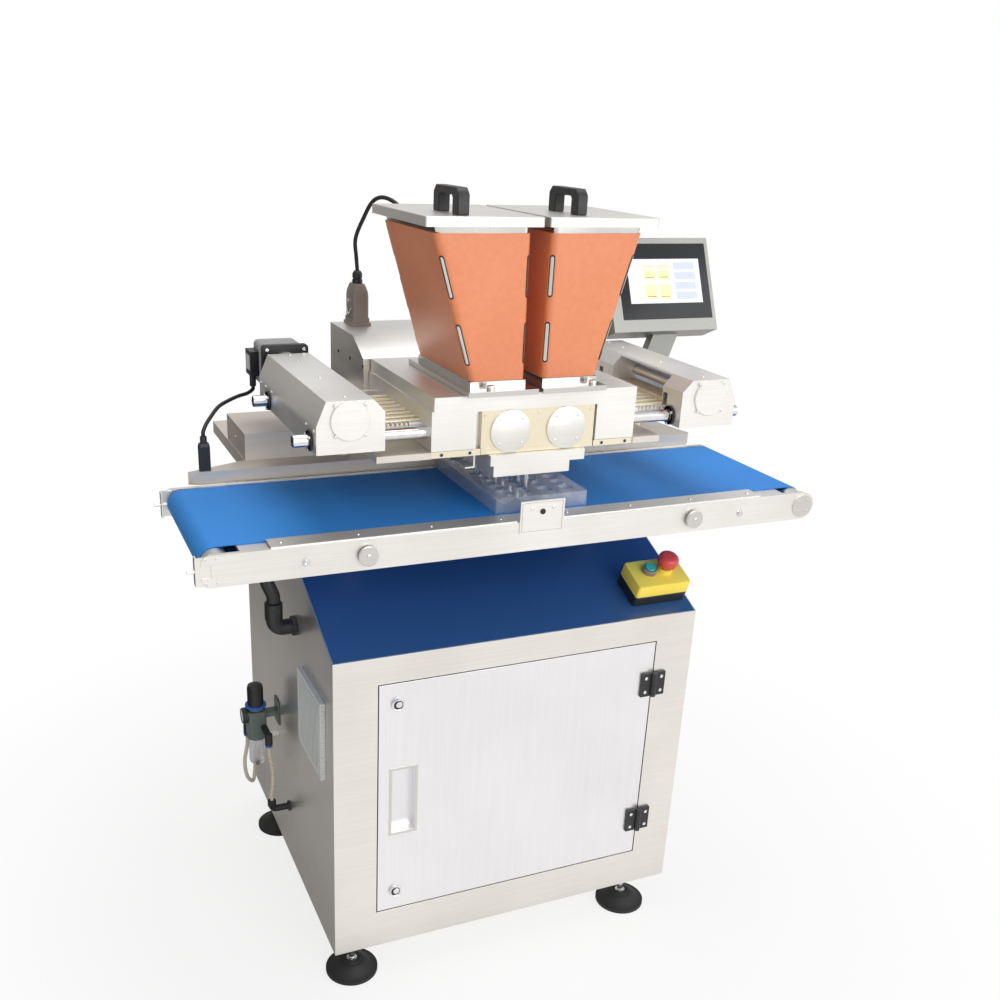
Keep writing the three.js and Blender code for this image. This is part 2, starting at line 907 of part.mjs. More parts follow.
// Vent filter cover clipped into its cut-out by a spigot
function ventFilter() {
  const back = cabinet.left - seat;
  const cover = block([back - filter.thick, back], [filter.front, filter.back], [filter.bottom, filter.top]);
  const margin = filter.lip + run;
  const spigot = block(
    [back, back + filter.spigot],
    [filter.front + margin, filter.back - margin],
    [filter.bottom + margin, filter.top - margin],
  );
  return join(cover, spigot);
}

// A push-in fitting: a level arm from the regulator and a collar that points down
function pushIn({ x, y, portHeight, collarRadius, armRadius, bottom }) {
  const from = Math.min(y, regulator.y);
  const to = Math.max(y, regulator.y);
  return join(
    rod("y", armRadius, [from, to], [x, portHeight], round.small),
    rod("z", collarRadius, [bottom, portHeight + armRadius], [x, y], round.small),
  );
}

// Regulator with filter bowl, gauge, push-in fittings and the bracket that holds it to the wall
function regulatorBody() {
  const r = regulator;
  const at = [r.x, r.y];
  const wall = cabinet.left - seat;
  const bowl = turned(
    [
      [0, r.bowlBottom],
      [r.bowlTipRadius, r.bowlBottom],
      [r.bowlRadius, r.bowlWaist],
      [r.bowlRadius, r.bodyBottom],
      [r.bodyRadius, r.bodyBottom],
      [r.bodyRadius, r.bodyTop - r.bowlTipRadius],
      [r.neckRadius, r.bodyTop],
      [0, r.bodyTop],
    ],
    at,
  );
  const bracketY = about(r.y, r.bracketWidth / 2);
  return join(
    bowl,
    block([wall - r.bracketThick, wall], bracketY, [r.bracketBottom, r.bracketTop]),
    block([r.x, wall], about(r.y, r.bracketWidth / 3), [r.armBottom, r.armTop]),
    rod("x", r.gaugeRadius, [r.gaugeFace, r.x], [r.y, r.gaugeHeight]),
    pushIn(outlet),
    pushIn(inlet),
  );
}

// Knob with its coloured ring, seated on the neck of the regulator
function regulatorKnob() {
  const bottom = regulator.bodyTop + seat;
  const profile = [
    [0, bottom],
    [knob.ringRadius, bottom],
    [knob.ringRadius, bottom + knob.ringHeight],
    [knob.radius, bottom + knob.ringHeight],
    [knob.radius, knob.top - knob.bevel],
    [knob.crownRadius, knob.top],
    [0, knob.top],
  ];
  return turned(profile, [regulator.x, regulator.y]);
}

// A right-angle fitting through the left wall: thread, nut, level leg and upright leg
function wallElbow({ x, y, corner, top, radius, nutRadius, nutLength, threadRadius, threadIn }) {
  const wall = cabinet.left - seat;
  return join(
    rod("x", threadRadius, [wall - seat, wall + threadIn], [y, corner], round.small),
    rod("x", nutRadius, [wall - nutLength, wall], [y, corner], round.small),
    rod("x", radius - seat, [x, wall - nutLength], [y, corner], round.small),
    rod("z", radius, [corner - radius, top], [x, y], round.small),
  );
}

function conduitGland() {
  const { x, y, sleeveRadius, sleeveBottom, top } = conduitElbow;
  return join(wallElbow(conduitElbow), rod("z", sleeveRadius, [sleeveBottom, top - seat], [x, y]));
}

// Side view of a rail: square-cut on the left with round corners, a full round on the right
function railOutline() {
  const { left, right, bottom, top, corner, middle, endRadius } = rail;
  const shape = new THREE.Shape();
  shape.absarc(right - endRadius, middle, endRadius, -Math.PI / 2, Math.PI / 2);
  shape.absarc(left + corner, top - corner, corner, Math.PI / 2, Math.PI);
  shape.absarc(left + corner, bottom + corner, corner, Math.PI, 1.5 * Math.PI);
  return shape;
}

// Rail as a channel with bearing bosses and the take-up slot; the face lies at y, the inside towards way
function railChannel(y, way) {
  const from = (near, far) => (way > 0 ? [y + near, y + far] : [y - far, y - near]);
  const length = [rail.left + rail.corner, rail.right - rail.endRadius];
  const slotX = [rail.left - overrun, rail.left + rail.slotLength];
  const bossAt = (x, radius, span) => rod("y", radius, span, [x, roller.level]);
  const bosses = [roller.idler, roller.drive];
  const channel = join(
    prism("y", railOutline(), from(0, rail.web), round.middle / 4),
    block(length, from(0, rail.flange), [rail.bottom, rail.bottom + rail.web]),
    block(length, from(0, rail.flange), [rail.top - rail.web, rail.top]),
    ...bosses.map((x) => bossAt(x, bearing.radius, from(rail.web / 2, bearing.depth))),
  );
  return cut(
    channel,
    block(slotX, grown(from(0, rail.web), overrun), about(rail.middle, rail.slotHeight / 2)),
    ...bosses.map((x) => bossAt(x, roller.shaftRadius + run, from(rail.web, bearing.depth + overrun))),
  );
}

// Take-up: end plate on a tongue of the rail, with its tension bolt
function takeUpPlate(y, way) {
  const from = (near, far) => (way > 0 ? [y + near, y + far] : [y - far, y - near]);
  const { left, thick, boltRadius, boltLength, tongue } = takeUp;
  const height = [rail.bottom + rail.web, rail.top - rail.web];
  const bolt = [left - boltLength / 2, left + boltLength / 2];
  const middleY = (from(0, tongue)[0] + from(0, tongue)[1]) / 2;
  return join(
    block([left, left + thick], from(rail.web, tongue), height),
    block([left, rail.left + rail.slotLength + overrun], from(rail.web / 2, rail.web + thick), height),
    rod("x", boltRadius, bolt, [middleY, rail.middle], round.small),
  );
}

// Front rail with guide strip, two clamp knobs, round end cover and the mould stop plate
function frontRail() {
  const knobs = railKnobs.places.map((x) =>
    join(
      rod("y", railKnobs.radius, [-railKnobs.length, -railKnobs.neck], [x, roller.level]),
      rod("y", railKnobs.neckRadius, [-railKnobs.length / 2, rail.web / 2], [x, roller.level], round.small),
    ),
  );
  return join(
    railChannel(0, 1),
    takeUpPlate(0, 1),
    ...knobs,
    rod("y", endCover.radius, [-endCover.thick, rail.web / 2], [rail.right - rail.endRadius, rail.middle]),
    block([strip.left, strip.right], [rail.flange / 2, strip.overFront], [rail.top, rail.top + strip.thick]),
    block([stopPlate.left, stopPlate.right], [-stopPlate.thick, 0], [stopPlate.bottom, stopPlate.top]),
  );
}

// Levels of the belt: it lies on the rollers with a seat, and its bed lies under it with another
const beltInside = roller.radius + seat;
const beltOutside = beltInside + belt.thick;
const beltTop = roller.level + beltOutside;
const bedTop = roller.level + beltInside - seat;

// Rear rail with its guide strip, slider bed, cross ties and the stand on the slope
function conveyorFrame() {
  const back = rail.depth;
  const inner = rail.web + seat;
  const bedY = [inner, back - rail.web / 2];
  const stripY = [strip.overRear, back - rail.flange / 2];
  const standAt = (x) => {
    const xs = about(x, stand.halfWidth);
    const leg = [
      [stand.legFront, slopeAt(stand.legFront, seat)],
      [stand.legBack, slopeAt(stand.legBack, seat)],
      [stand.legBack, stand.plateTop],
      [stand.legFront, stand.plateTop],
    ];
    return join(
      block(xs, [stand.front, back], [stand.plateBottom, stand.plateTop]),
      block(xs, [back - rail.flange, back], [stand.plateBottom, rail.bottom + rail.web / 2]),
      prism("x", leg, xs),
    );
  };
  return join(
    railChannel(back, -1),
    takeUpPlate(back, -1),
    block([strip.left, strip.right], stripY, [rail.top, rail.top + strip.thick]),
    block([bed.left, bed.right], bedY, [bedTop - bed.thick, bedTop]),
    ...tie.places.map((x) => block(about(x, tie.halfWidth), bedY, [tie.bottom, tie.top])),
    ...tie.places.map(standAt),
  );
}

// Side view of the belt's loop at a distance from the roller axes
function loop(radius) {
  const shape = new THREE.Shape();
  shape.absarc(roller.drive, roller.level, radius, -Math.PI / 2, Math.PI / 2);
  shape.absarc(roller.idler, roller.level, radius, Math.PI / 2, 1.5 * Math.PI);
  return shape;
}

function conveyorBelt() {
  const width = [belt.front, belt.back];
  const steps = round.large / 4;
  const outside = prism("y", loop(beltOutside), width, steps);
  return cut(outside, prism("y", loop(beltInside), grown(width, overrun), steps));
}

function beltRoller(x) {
  const shaft = [roller.shaftGap, rail.depth - roller.shaftGap];
  const body = [bearing.depth + seat, rail.depth - bearing.depth - seat];
  return join(
    rod("y", roller.radius, body, [x, roller.level], round.large),
    rod("y", roller.shaftRadius, shaft, [x, roller.level]),
  );
}

// Places of the mould's cavities, which the nozzles share along y
const rowAt = (i) => mould.middleY + (i - (mould.rows - 1) / 2) * mould.rowPitch;
const columnAt = (i) => mould.middleX + (i - (mould.columns - 1) / 2) * mould.columnPitch;

function chocolateMould() {
  const bottom = beltTop + seat;
  const top = bottom + mould.height;
  const profile = [
    [0, top - mould.cavityDepth],
    [mould.cavityWaist, top - mould.cavityWaistDepth],
    [mould.cavityRadius, top],
    [mould.cavityRadius, top + overrun],
    [0, top + overrun],
  ];
  const cavities = counted(mould.columns, columnAt).flatMap((x) =>
    counted(mould.rows, rowAt).map((y) => turned(profile, [x, y], round.small)),
  );
  const xs = [mould.left, mould.left + mould.width];
  const ys = [mould.front, mould.front + mould.length];
  return cut(block(xs, ys, [bottom, top]), ...cavities);
}

// Plan of the rear tray: a wing on the left and a flare on the right reach past the cabinet
function trayOutline() {
  const { left, right, front, back, wing, flare } = tray;
  return [
    [wing.tipCorner, front],
    [flare.tipCorner, front],
    [flare.tip, flare.tipBack],
    [flare.shoulder, flare.root],
    [right, back],
    [left, back],
    [left, wing.root],
    [wing.tip, wing.tipBack],
  ];
}

// Plan of the bridge: a fork around the nozzle block
function bridgeOutline() {
  const { left, right, front, setBack, back, openingBack } = bridge;
  const gapLeft = nozzleBlock.left - overrun - run;
  const gapRight = nozzleBlock.right + overrun + run;
  return [
    [left, front],
    [head.left, front],
    [head.left, setBack],
    [gapLeft, setBack],
    [gapLeft, openingBack],
    [gapRight, openingBack],
    [gapRight, setBack],
    [head.right, setBack],
    [head.right, front],
    [right, front],
    [right, back],
    [left, back],
  ];
}

// Arm of the touch panel: a folded channel that leans to the right, two ears and the hinge pin
function panelArm() {
  const outline = [
    [arm.footLeft, tray.top - tray.sheet],
    [arm.footRight, tray.top - tray.sheet],
    [arm.headRight, arm.headTop],
    [arm.headLeft, arm.headTop],
  ];
  const ears = [
    [arm.headLeft, arm.headLeft + arm.earThick],
    [arm.headRight - arm.earThick, arm.headRight],
  ];
  return join(
    cut(
      prism("y", outline, [arm.front, arm.back]),
      prism("y", inset(outline, arm.sheet), [arm.front + arm.sheet, arm.back + overrun]),
    ),
    ...ears.map((xs) =>
      join(
        block(xs, [arm.pinY - arm.earNeck, arm.pinY + arm.earRadius], [arm.headTop - arm.earRadius, arm.pinZ]),
        rod("x", arm.earRadius, xs, [arm.pinY, arm.pinZ]),
      ),
    ),
    rod("x", arm.pinRadius, [arm.headLeft, arm.headRight], [arm.pinY, arm.pinZ], round.small),
  );
}

function machineBed() {
  const outline = trayOutline();
  const bottom = cabinet.deck + seat;
  const s = serviceBox;
  const boxX = [s.left, s.right];
  const boxY = [s.front, s.back];
  const boxTop = tray.top + s.height;
  const boss = conduitBoss;
  const bossZ = [boss.bottom, tray.top - tray.sheet / 2];
  const posts = [-post.x, post.x].flatMap((x) => [post.front, post.back].map((y) => [x, y]));
  const plates = join(
    prism("z", outline, [bottom, tray.top]),
    block(boxX, boxY, [tray.top - tray.sheet, boxTop]),
  );
  const hollow = join(
    prism("z", inset(outline, tray.sheet), [bottom - overrun, tray.top - tray.sheet]),
    block(grown(boxX, -s.sheet), grown(boxY, -s.sheet), [tray.top - tray.sheet - overrun, boxTop - s.sheet]),
  );
  return join(
    cut(plates, hollow),
    ...posts.map((place) => rod("z", post.radius, [tray.top - tray.sheet, bridge.bottom + run], place)),
    prism("z", bridgeOutline(), [bridge.bottom, bridge.top]),
    rod("z", boss.radius, bossZ, [boss.x, boss.y]),
    panelArm(),
  );
}

// Rack teeth on top of a bar, in phase with a pinion tooth gap over the pinion's axis
function rackBar(side, y) {
  const { line, module, pitch, pressure, backlash } = gear;
  const half = pitch / 4 - backlash / 4;
  const rise = module * gear.addendumShare;
  const drop = module * gear.dedendumShare;
  const slant = Math.tan(pressure);
  const root = line - drop;
  const count = Math.floor((gear.x - rack.from) / pitch);
  const beyond = Math.floor((rack.end - gear.x) / pitch);
  const teeth = [];
  for (let i = -count; i <= beyond; i += 1) {
    const x = gear.x + i * pitch;
    teeth.push(
      [x - half - drop * slant, root],
      [x - half + rise * slant, line + rise],
      [x + half - rise * slant, line + rise],
      [x + half + drop * slant, root],
    );
  }
  const flat = Math.abs(side > 0 ? head.right : head.left) - overrun;
  const outline = [
    [flat, rack.bottom],
    [rack.end, rack.bottom],
    [rack.end, root],
    ...teeth.reverse(),
    [rack.from, root],
    [rack.from, line + rise],
    [flat, line + rise],
  ];
  return prism("y", mirrored(outline, side), [y, y + rack.width]);
}

// Head: casing, top plate, valve bores, hopper ports, piston bores, shaft sockets and the two pairs of racks
function headBlock() {
  const bottom = bridge.top + seat;
  const recessBack = plate.front + plate.thick + seat;
  const plateX = [head.plateLeft, head.plateRight];
  const casing = join(
    block([head.left, head.right], [head.front, head.back], [bottom, head.casingTop]),
    block(plateX, [head.plateFront, head.back], [head.casingTop - seat, head.plateTop]),
  );
  const recess = block(
    [head.recessLeft, head.recessRight],
    [head.plateFront - overrun, recessBack],
    [bottom - overrun, head.recessTop + seat],
  );
  const bores = [];
  for (const [side, x] of [[-1, valve.left], [1, valve.right]]) {
    const face = side > 0 ? head.right : -head.left;
    const socket = across(side, face - guide.socket, face + overrun);
    const boreX = across(side, Math.abs(x), face + overrun);
    const slotY = [hopper.slotFront, hopper.slotBack];
    bores.push(
      boreFor(valve.radius, [recessBack - overrun, valve.back], [x, valve.level]),
      boreFor(valve.journalRadius, [valve.back - overrun, head.back + overrun], [x, valve.level]),
      block(about(x, hopper.slotHalf), slotY, [valve.level, head.plateTop + overrun]),
      ...[guide.front, guide.rear].map((y) => rod("x", guide.radius + seat, socket, [y, guide.level])),
      ...pistonRows().map((y) => rod("x", piston.radius + run, boreX, [y, piston.level], round.small)),
    );
  }
  const bars = [-1, 1].flatMap((side) => [rack.front, rack.rear].map((y) => rackBar(side, y)));
  return join(cut(casing, recess, ...bores), ...bars);
}

const pistonRows = () => counted(piston.count, (i) => piston.first + i * piston.pitch);

// Front plate with its two round valve covers and the strip along its foot
function frontPlate() {
  const back = plate.front + plate.thick;
  const covers = [valve.left, valve.right].map((x) =>
    rod("y", plate.coverRadius, [plate.front - plate.coverThick, plate.front], [x, valve.level], round.large),
  );
  return join(
    block([plate.left, plate.right], [plate.front, back], [plate.bottom, head.recessTop]),
    block([head.left, head.right], [plate.footFront, back], [plate.footBottom, plate.footTop]),
    ...covers,
  );
}

// A hanger plate beside the nozzle block, with its foot turned sideways
function sideHanger({ inner, plate: face, thick, foot: footEnd, bottom }) {
  const ys = [hanger.front, hanger.back];
  const top = nozzleBlock.shoulder;
  const out = Math.sign(face - inner) * thick;
  const between = (a, b) => [Math.min(a, b), Math.max(a, b)];
  return join(
    block(between(face, face + out), ys, [bottom, top]),
    block(between(inner - out, face + out), ys, [top - hanger.footThick, top]),
    block(between(footEnd, face + out / 2), ys, [bottom, bottom + hanger.footThick]),
  );
}

// Nozzle block under the head, with one nozzle over each row of cavities
function nozzles() {
  const b = nozzleBlock;
  const outlets = counted(mould.rows, rowAt).map((y) =>
    turned(
      [
        [0, nozzle.tip],
        [nozzle.tipRadius, nozzle.tip],
        [nozzle.radius, nozzle.tip + nozzle.tipLength],
        [nozzle.radius, b.bottom + overrun],
        [0, b.bottom + overrun],
      ],
      [nozzle.x, y],
      round.small,
    ),
  );
  return join(
    block([b.left, b.right], [b.front, b.back], [b.waist, b.shoulder]),
    block([b.left, b.right], [b.neckFront, b.back], [b.waist, bridge.top]),
    block([b.lowLeft, b.lowRight], [b.front, b.back], [b.bottom, b.waist + run]),
    sideHanger(hanger.left),
    sideHanger(hanger.right),
    ...outlets,
  );
}

// Valve rotor: a shaft with a pocket that carries the dose, a journal and the crank arm behind the head
function valveRotor(x) {
  const front = plate.front + plate.thick + seat + seat;
  const crank = [valve.journalEnd - valve.crankThick, valve.journalEnd];
  const pocket = block(
    about(x, valve.grooveWidth / 2),
    [hopper.slotFront, hopper.slotBack],
    [valve.level + valve.radius - valve.grooveDepth, valve.level + valve.radius + overrun],
  );
  return join(
    cut(rod("y", valve.radius, [front, valve.back - seat], [x, valve.level]), pocket),
    rod("y", valve.journalRadius, [front, valve.journalEnd], [x, valve.level]),
    block(about(x, valve.crankWidth / 2), crank, [valve.level, valve.level + valve.crankLength]),
  );
}

// Hopper: base plate on the head, throat with an outlet slot, tapered walls and a lip for the lid
function hopperShell(shape) {
  const { top, bottom, base, lid: lidX, valve: x } = shape;
  const skin = hopper.jacketThick + seat;
  const ys = grown([hopper.front, hopper.back], -skin);
  const low = grown(bottom, -skin);
  const high = grown(top, -skin);
  const mouthTop = hopper.top + overrun;
  const mouth = grown(taperAt(shape, mouthTop), -skin);
  const inner = (xs) => grown(xs, -hopper.wall);
  const baseBottom = head.plateTop + seat;
  const lipX = grown(lidX, -lid.sheet - lid.play);
  const lipY = grown([lid.front, lid.back], -lid.sheet - lid.play);
  const corner = hopper.corner - skin;
  const outside = join(
    block(base, [hopper.baseFront, hopper.baseBack], [baseBottom, hopper.baseTop]),
    block(bottom, [hopper.front, hopper.back], [baseBottom, hopper.bottom]),
    loft([ring(low, ys, hopper.bottom - seat, corner), ring(high, ys, hopper.top, corner)]),
    block(lipX, lipY, [hopper.top - hopper.lipThick, hopper.top]),
  );
  const rise = hopper.bottom + hopper.wall;
  const slotY = [hopper.slotFront, hopper.slotBack];
  return cut(
    outside,
    loft([
      ring(inner(low), grown(ys, -hopper.wall), rise, corner - hopper.wall),
      ring(inner(mouth), grown(ys, -hopper.wall), mouthTop, corner - hopper.wall),
    ]),
    block(about(x, hopper.slotHalf), slotY, [baseBottom - overrun, rise + overrun]),
  );
}

// Widths of a tapered side at a height between the throat and the rim
function taperAt({ top, bottom }, z) {
  const share = (z - hopper.bottom) / (hopper.top - hopper.bottom);
  return [0, 1].map((end) => bottom[end] + (top[end] - bottom[end]) * share);
}

// Silicone heating jacket around the tapered walls
function heatingJacket(shape, withGland) {
  const ys = [hopper.front, hopper.back];
  const low = hopper.bottom + seat;
  const at = (z, by) => ring(grown(taperAt(shape, z), -by), grown(ys, -by), z, hopper.corner - by);
  const sleeve = cut(
    loft([at(low, 0), at(hopper.jacketTop, 0)]),
    loft([at(low - overrun, hopper.jacketThick), at(hopper.jacketTop + overrun, hopper.jacketThick)]),
  );
  if (!withGland) return sleeve;
  const boss = rod("y", gland.radius, [hopper.back - seat, gland.end], [gland.x, gland.z], round.small);
  return join(sleeve, boss);
}

// Side view of a bridge handle: bevelled bar on two legs
function gripOutline(from, to, foot) {
  const high = grip.top;
  return [
    [from, foot],
    [from + grip.leg, foot],
    [from + grip.leg, high - grip.bar],
    [to - grip.leg, high - grip.bar],
    [to - grip.leg, foot],
    [to, foot],
    [to, high - grip.bevel],
    [to - grip.bevel, high],
    [from + grip.bevel, high],
    [from, high - grip.bevel],
  ];
}

// Lid: a folded tray turned over the lip, open at its corners, with a bridge handle
function hopperLid({ lid: xs, grip: at }) {
  const ys = [lid.front, lid.back];
  const under = lid.top - lid.sheet;
  const bottom = lid.top - lid.flange;
  const notch = lid.sheet + lid.play;
  const corners = [xs[0], xs[1]].flatMap((x) => ys.map((y) => [x, y]));
  const tray = cut(
    block(xs, ys, [bottom, lid.top]),
    block(grown(xs, -lid.sheet), grown(ys, -lid.sheet), [bottom - overrun, under]),
    ...corners.map(([x, y]) => block(about(x, notch), about(y, notch), [bottom - overrun, under])),
  );
  return join(tray, prism("x", gripOutline(at.front, at.back, lid.top - run), [at.left, at.right]));
}

function guideShaft(side, y) {
  const face = side > 0 ? head.right : -head.left;
  return rod("x", guide.radius, across(side, face - guide.socket + seat, guide.end), [y, guide.level]);
}

// Beam: a chamfered bar with bores for the guide shafts and the pinion shaft, rooms for the pinions
// and racks, and an open pocket between its ends for the clamp bar
function driveBeam(side) {
  const b = beam;
  const section = [
    [b.inner, b.bottom],
    [b.outer, b.bottom],
    [b.outer, b.shoulder],
    [b.roofOuter, b.roof],
    [b.roofInner, b.roof],
    [b.inner, b.innerShoulder],
  ];
  const pocket = [
    [b.inner - overrun, b.bottom - overrun],
    [b.outer - b.wall, b.bottom - overrun],
    [b.outer - b.wall, b.shoulder],
    [b.roofOuter - b.wall, b.roof - b.wall],
    [b.inner - overrun, b.roof - b.wall],
  ];
  const axis = [side * gear.x, gear.level];
  const roomX = across(side, b.inner - overrun, b.outer - b.wall);
  const rooms = [rack.front, rack.rear].flatMap((y) => {
    const span = grown([y, y + rack.width], gear.roomAround);
    return [
      rod("y", gear.tipRadius + gear.roomAround, span, axis),
      block(roomX, span, [rack.bottom - gear.roomAround, gear.level]),
    ];
  });
  const shafts = [guide.front, guide.rear];
  const outerCollar = across(side, b.outer - seat, b.outer + b.collarLength);
  const innerCollar = across(side, b.inner - b.collarLength, b.inner + seat);
  const through = across(side, b.inner - b.collarLength - overrun, b.outer + b.collarLength + overrun);
  return cut(
    join(
      prism("y", mirrored(section, side), [b.front, b.back]),
      rod("y", b.coverRadius, [b.front - b.coverThick, b.front + seat], axis),
      ...shafts.flatMap((y) =>
        [outerCollar, innerCollar].map((span) => rod("x", b.collarRadius, span, [y, guide.level])),
      ),
    ),
    prism("y", mirrored(pocket, side), [b.pocketFront, b.pocketBack]),
    ...rooms,
    rod("y", gear.shaftRadius + run, [gear.shaftFront - seat, b.back + overrun], axis),
    ...shafts.map((y) => rod("x", guide.radius + run, through, [y, guide.level])),
  );
}

// Clamp bar with the piston rods that reach into the head
function pistonSet(side) {
  const bar = block(
    across(side, clampBar.inner, clampBar.outer),
    [beam.pocketFront + seat, beam.pocketBack - seat],
    [clampBar.bottom, clampBar.top],
  );
  const rodX = across(side, piston.tip, clampBar.inner + overrun);
  const rods = pistonRows().map((y) => rod("x", piston.radius, rodX, [y, piston.level], round.small));
  return join(bar, ...rods);
}

// A pinion's outline: straight-flanked teeth, with a gap over the rack tooth below the axis
function pinionOutline(side) {
  const { teeth, module, pressure, backlash, tipRadius, rootRadius, pitchRadius, pitch } = gear;
  const half = pitch / 4 - backlash / 4;
  const slant = module * Math.tan(pressure);
  const atTip = (half - slant * gear.addendumShare * gear.tipReliefShare) / tipRadius;
  const atPitch = half / pitchRadius;
  const atRoot = (half + slant * gear.dedendumShare * gear.rootFlankShare) / rootRadius;
  const step = (2 * Math.PI) / teeth;
  const corners = [
    [rootRadius, -atRoot],
    [pitchRadius, -atPitch],
    [tipRadius, -atTip],
    [tipRadius, atTip],
    [pitchRadius, atPitch],
    [rootRadius, atRoot],
  ];
  return counted(teeth, (i) => (i + 0.5) * step - Math.PI / 2).flatMap((angle) =>
    corners.map(([radius, turn]) => [
      side * gear.x + radius * Math.cos(angle + turn),
      gear.level + radius * Math.sin(angle + turn),
    ]),
  );
}

function pinionShaft(side) {
  const outline = pinionOutline(side);
  return join(
    rod("y", gear.shaftRadius, [gear.shaftFront, gear.shaftBack], [side * gear.x, gear.level]),
    ...[rack.front, rack.rear].map((y) => prism("y", outline, [y, y + rack.width])),
  );
}

// Gear motor behind a beam: neck, flange and chamfered body
function gearMotor(side, { half, back, flangeHalf, neckRadius, chamfer }) {
  const x = side * gear.x;
  const z = gear.level;
  const body = [
    [x - half, z - half + chamfer],
    [x - half + chamfer, z - half],
    [x + half - chamfer, z - half],
    [x + half, z - half + chamfer],
    [x + half, z + half - chamfer],
    [x + half - chamfer, z + half],
    [x - half + chamfer, z + half],
    [x - half, z + half - chamfer],
  ];
  return join(
    rod("y", neckRadius, [beam.back + seat, motors.neckBack + seat], [x, z]),
    block(about(x, flangeHalf), [motors.neckBack, motors.flangeBack], about(z, flangeHalf)),
    prism("y", body, [motors.flangeBack - seat, back]),
  );
}

// Terminal box and cable gland on the outer side of the left motor
function terminalBox() {
  const { outer, front, back, bottom, top, glandRadius, glandEnd } = motorBox;
  const motorSide = -gear.x - motors.left.half;
  const middle = [(outer + motorSide) / 2, (front + back) / 2];
  return join(
    block([outer, motorSide + seat], [front, back], [bottom, top]),
    rod("z", glandRadius, [glandEnd, bottom + seat], middle, round.small),
  );
}

function motorPlug() {
  const { x, y, halfX, halfY, top, neckRadius, neckTop } = plug;
  return join(
    block(about(x, halfX), about(y, halfY), [tray.top + seat, top]),
    rod("z", neckRadius, [top - seat, neckTop], [x, y], round.small),
  );
}

// Valve drive housing: a folded cover on the bridge, open below
function valveHousing() {
  const { left, right, front, sheet, low, knee, kneeBack, roofFront, roof, back } = housing;
  const bottom = bridge.top + seat;
  const outline = [
    [front, bottom],
    [back, bottom],
    [back, roof],
    [roofFront, roof],
    [kneeBack, knee],
    [front, low],
  ];
  const hollow = inset(outline, sheet).map(([y, z]) => [y, z < bottom + sheet + weld ? bottom - overrun : z]);
  return cut(
    prism("x", outline, [left, right]),
    prism("x", hollow, [left + sheet, right - sheet]),
    ...[valve.left, valve.right].map((x) =>
      rod("y", valve.journalRadius + run, [front - overrun, kneeBack + sheet + overrun], [x, valve.level]),
    ),
  );
}

// Heavy duty connector: base frame, hood and cable gland
function cableConnector() {
  const c = connector;
  const bottom = housing.roof + seat;
  return join(
    block(about(c.x, c.baseX), about(c.y, c.baseY), [bottom, c.baseTop]),
    prism("z", rounded(about(c.x, c.hoodX), about(c.y, c.hoodY), overrun), [c.baseTop - seat, c.hoodTop]),
    rod("z", c.glandRadius, [c.hoodTop - seat, c.glandTop], [c.x, c.y], round.small),
  );
}

// Skirt as a leaning channel, open below and behind, turned into the frame of the case
function panelSkirt() {
  const s = skirt;
  const c = screenCase;
  const shift = (z) => (z - s.bottom) * s.lean;
  const outline = (low, high, by) => [
    [s.left + by + shift(low), low],
    [s.left + s.width - by + shift(low), low],
    [s.left + s.width - by + shift(high), high],
    [s.left + by + shift(high), high],
  ];
  const channel = cut(
    prism("y", outline(s.bottom, s.top, 0), [s.front, s.back]),
    prism("y", outline(s.bottom - overrun, s.top + overrun, c.wall), [s.front + c.wall, s.back + overrun]),
  );
  const moved = channel.translate([-c.left - c.width / 2, -c.y, -c.z]);
  return moved.rotate([THREE.MathUtils.radToDeg(c.tilt), 0, 0]);
}

// Touch panel case in its own frame: x from its middle, y into the case, z up its face
function panelCase() {
  const c = screenCase;
  const turn = (y, z) => [
    y * Math.cos(c.tilt) - z * Math.sin(c.tilt),
    y * Math.sin(c.tilt) + z * Math.cos(c.tilt),
  ];
  const [pinY, pinZ] = turn(arm.pinY - c.y, arm.pinZ - c.z);
  const half = c.width / 2;
  const side = [
    [0, 0],
    [c.depth, 0],
    [c.depth, c.height - c.backMargin],
    [c.depth - c.backThin, c.height],
    [0, c.height],
  ];
  const middle = (arm.headLeft + arm.headRight) / 2 - c.left - half;
  const lugX = about(middle, c.lugWidth / 2);
  const glass = block(
    [-half + c.glassLeft, half - c.glassRight],
    [-overrun, c.glassDepth],
    [c.glassLow, c.height - c.glassAbove],
  );
  const hollow = prism("x", inset(side, c.wall), [-half + c.wall, half - c.wall]);
  const backWall = grown([c.depth - c.wall, c.depth], overrun);
  const cableEntry = rod("y", c.entryRadius, backWall, [c.entryX, c.entryHeight]);
  return cut(
    join(
      cut(join(prism("x", side, [-half, half]), panelSkirt()), glass, hollow, cableEntry),
      rod("x", c.lugRadius, lugX, [pinY, pinZ]),
      block(lugX, [pinY - c.lugRadius, c.depth], [pinZ, c.glassDepth]),
    ),
    rod("x", arm.pinRadius + run, grown(lugX, overrun), [pinY, pinZ]),
  );
}

// What leans with the slope, and what leans with the touch panel, sits in a turned group
function slopeGroup() {
  const group = new THREE.Group();
  group.position.set(0, cabinet.front, cabinet.frontTop);
  group.rotation.x = cabinet.slope;
  group.add(
    mesh("top_panel", topPanel(), "darkBlue"),
    mesh("control_box", controlBox(), "yellow"),
    mesh("start_button", startButton(), "teal"),
    mesh("stop_button", stopButton(), "red"),
  );
  return group;
}

function touchPanelGroup() {
  const group = new THREE.Group();
  group.position.set(screenCase.left + screenCase.width / 2, screenCase.y, screenCase.z);
  group.rotation.x = -screenCase.tilt;
  group.add(mesh("hmi_case", panelCase(), "steel"));
  return group;
}

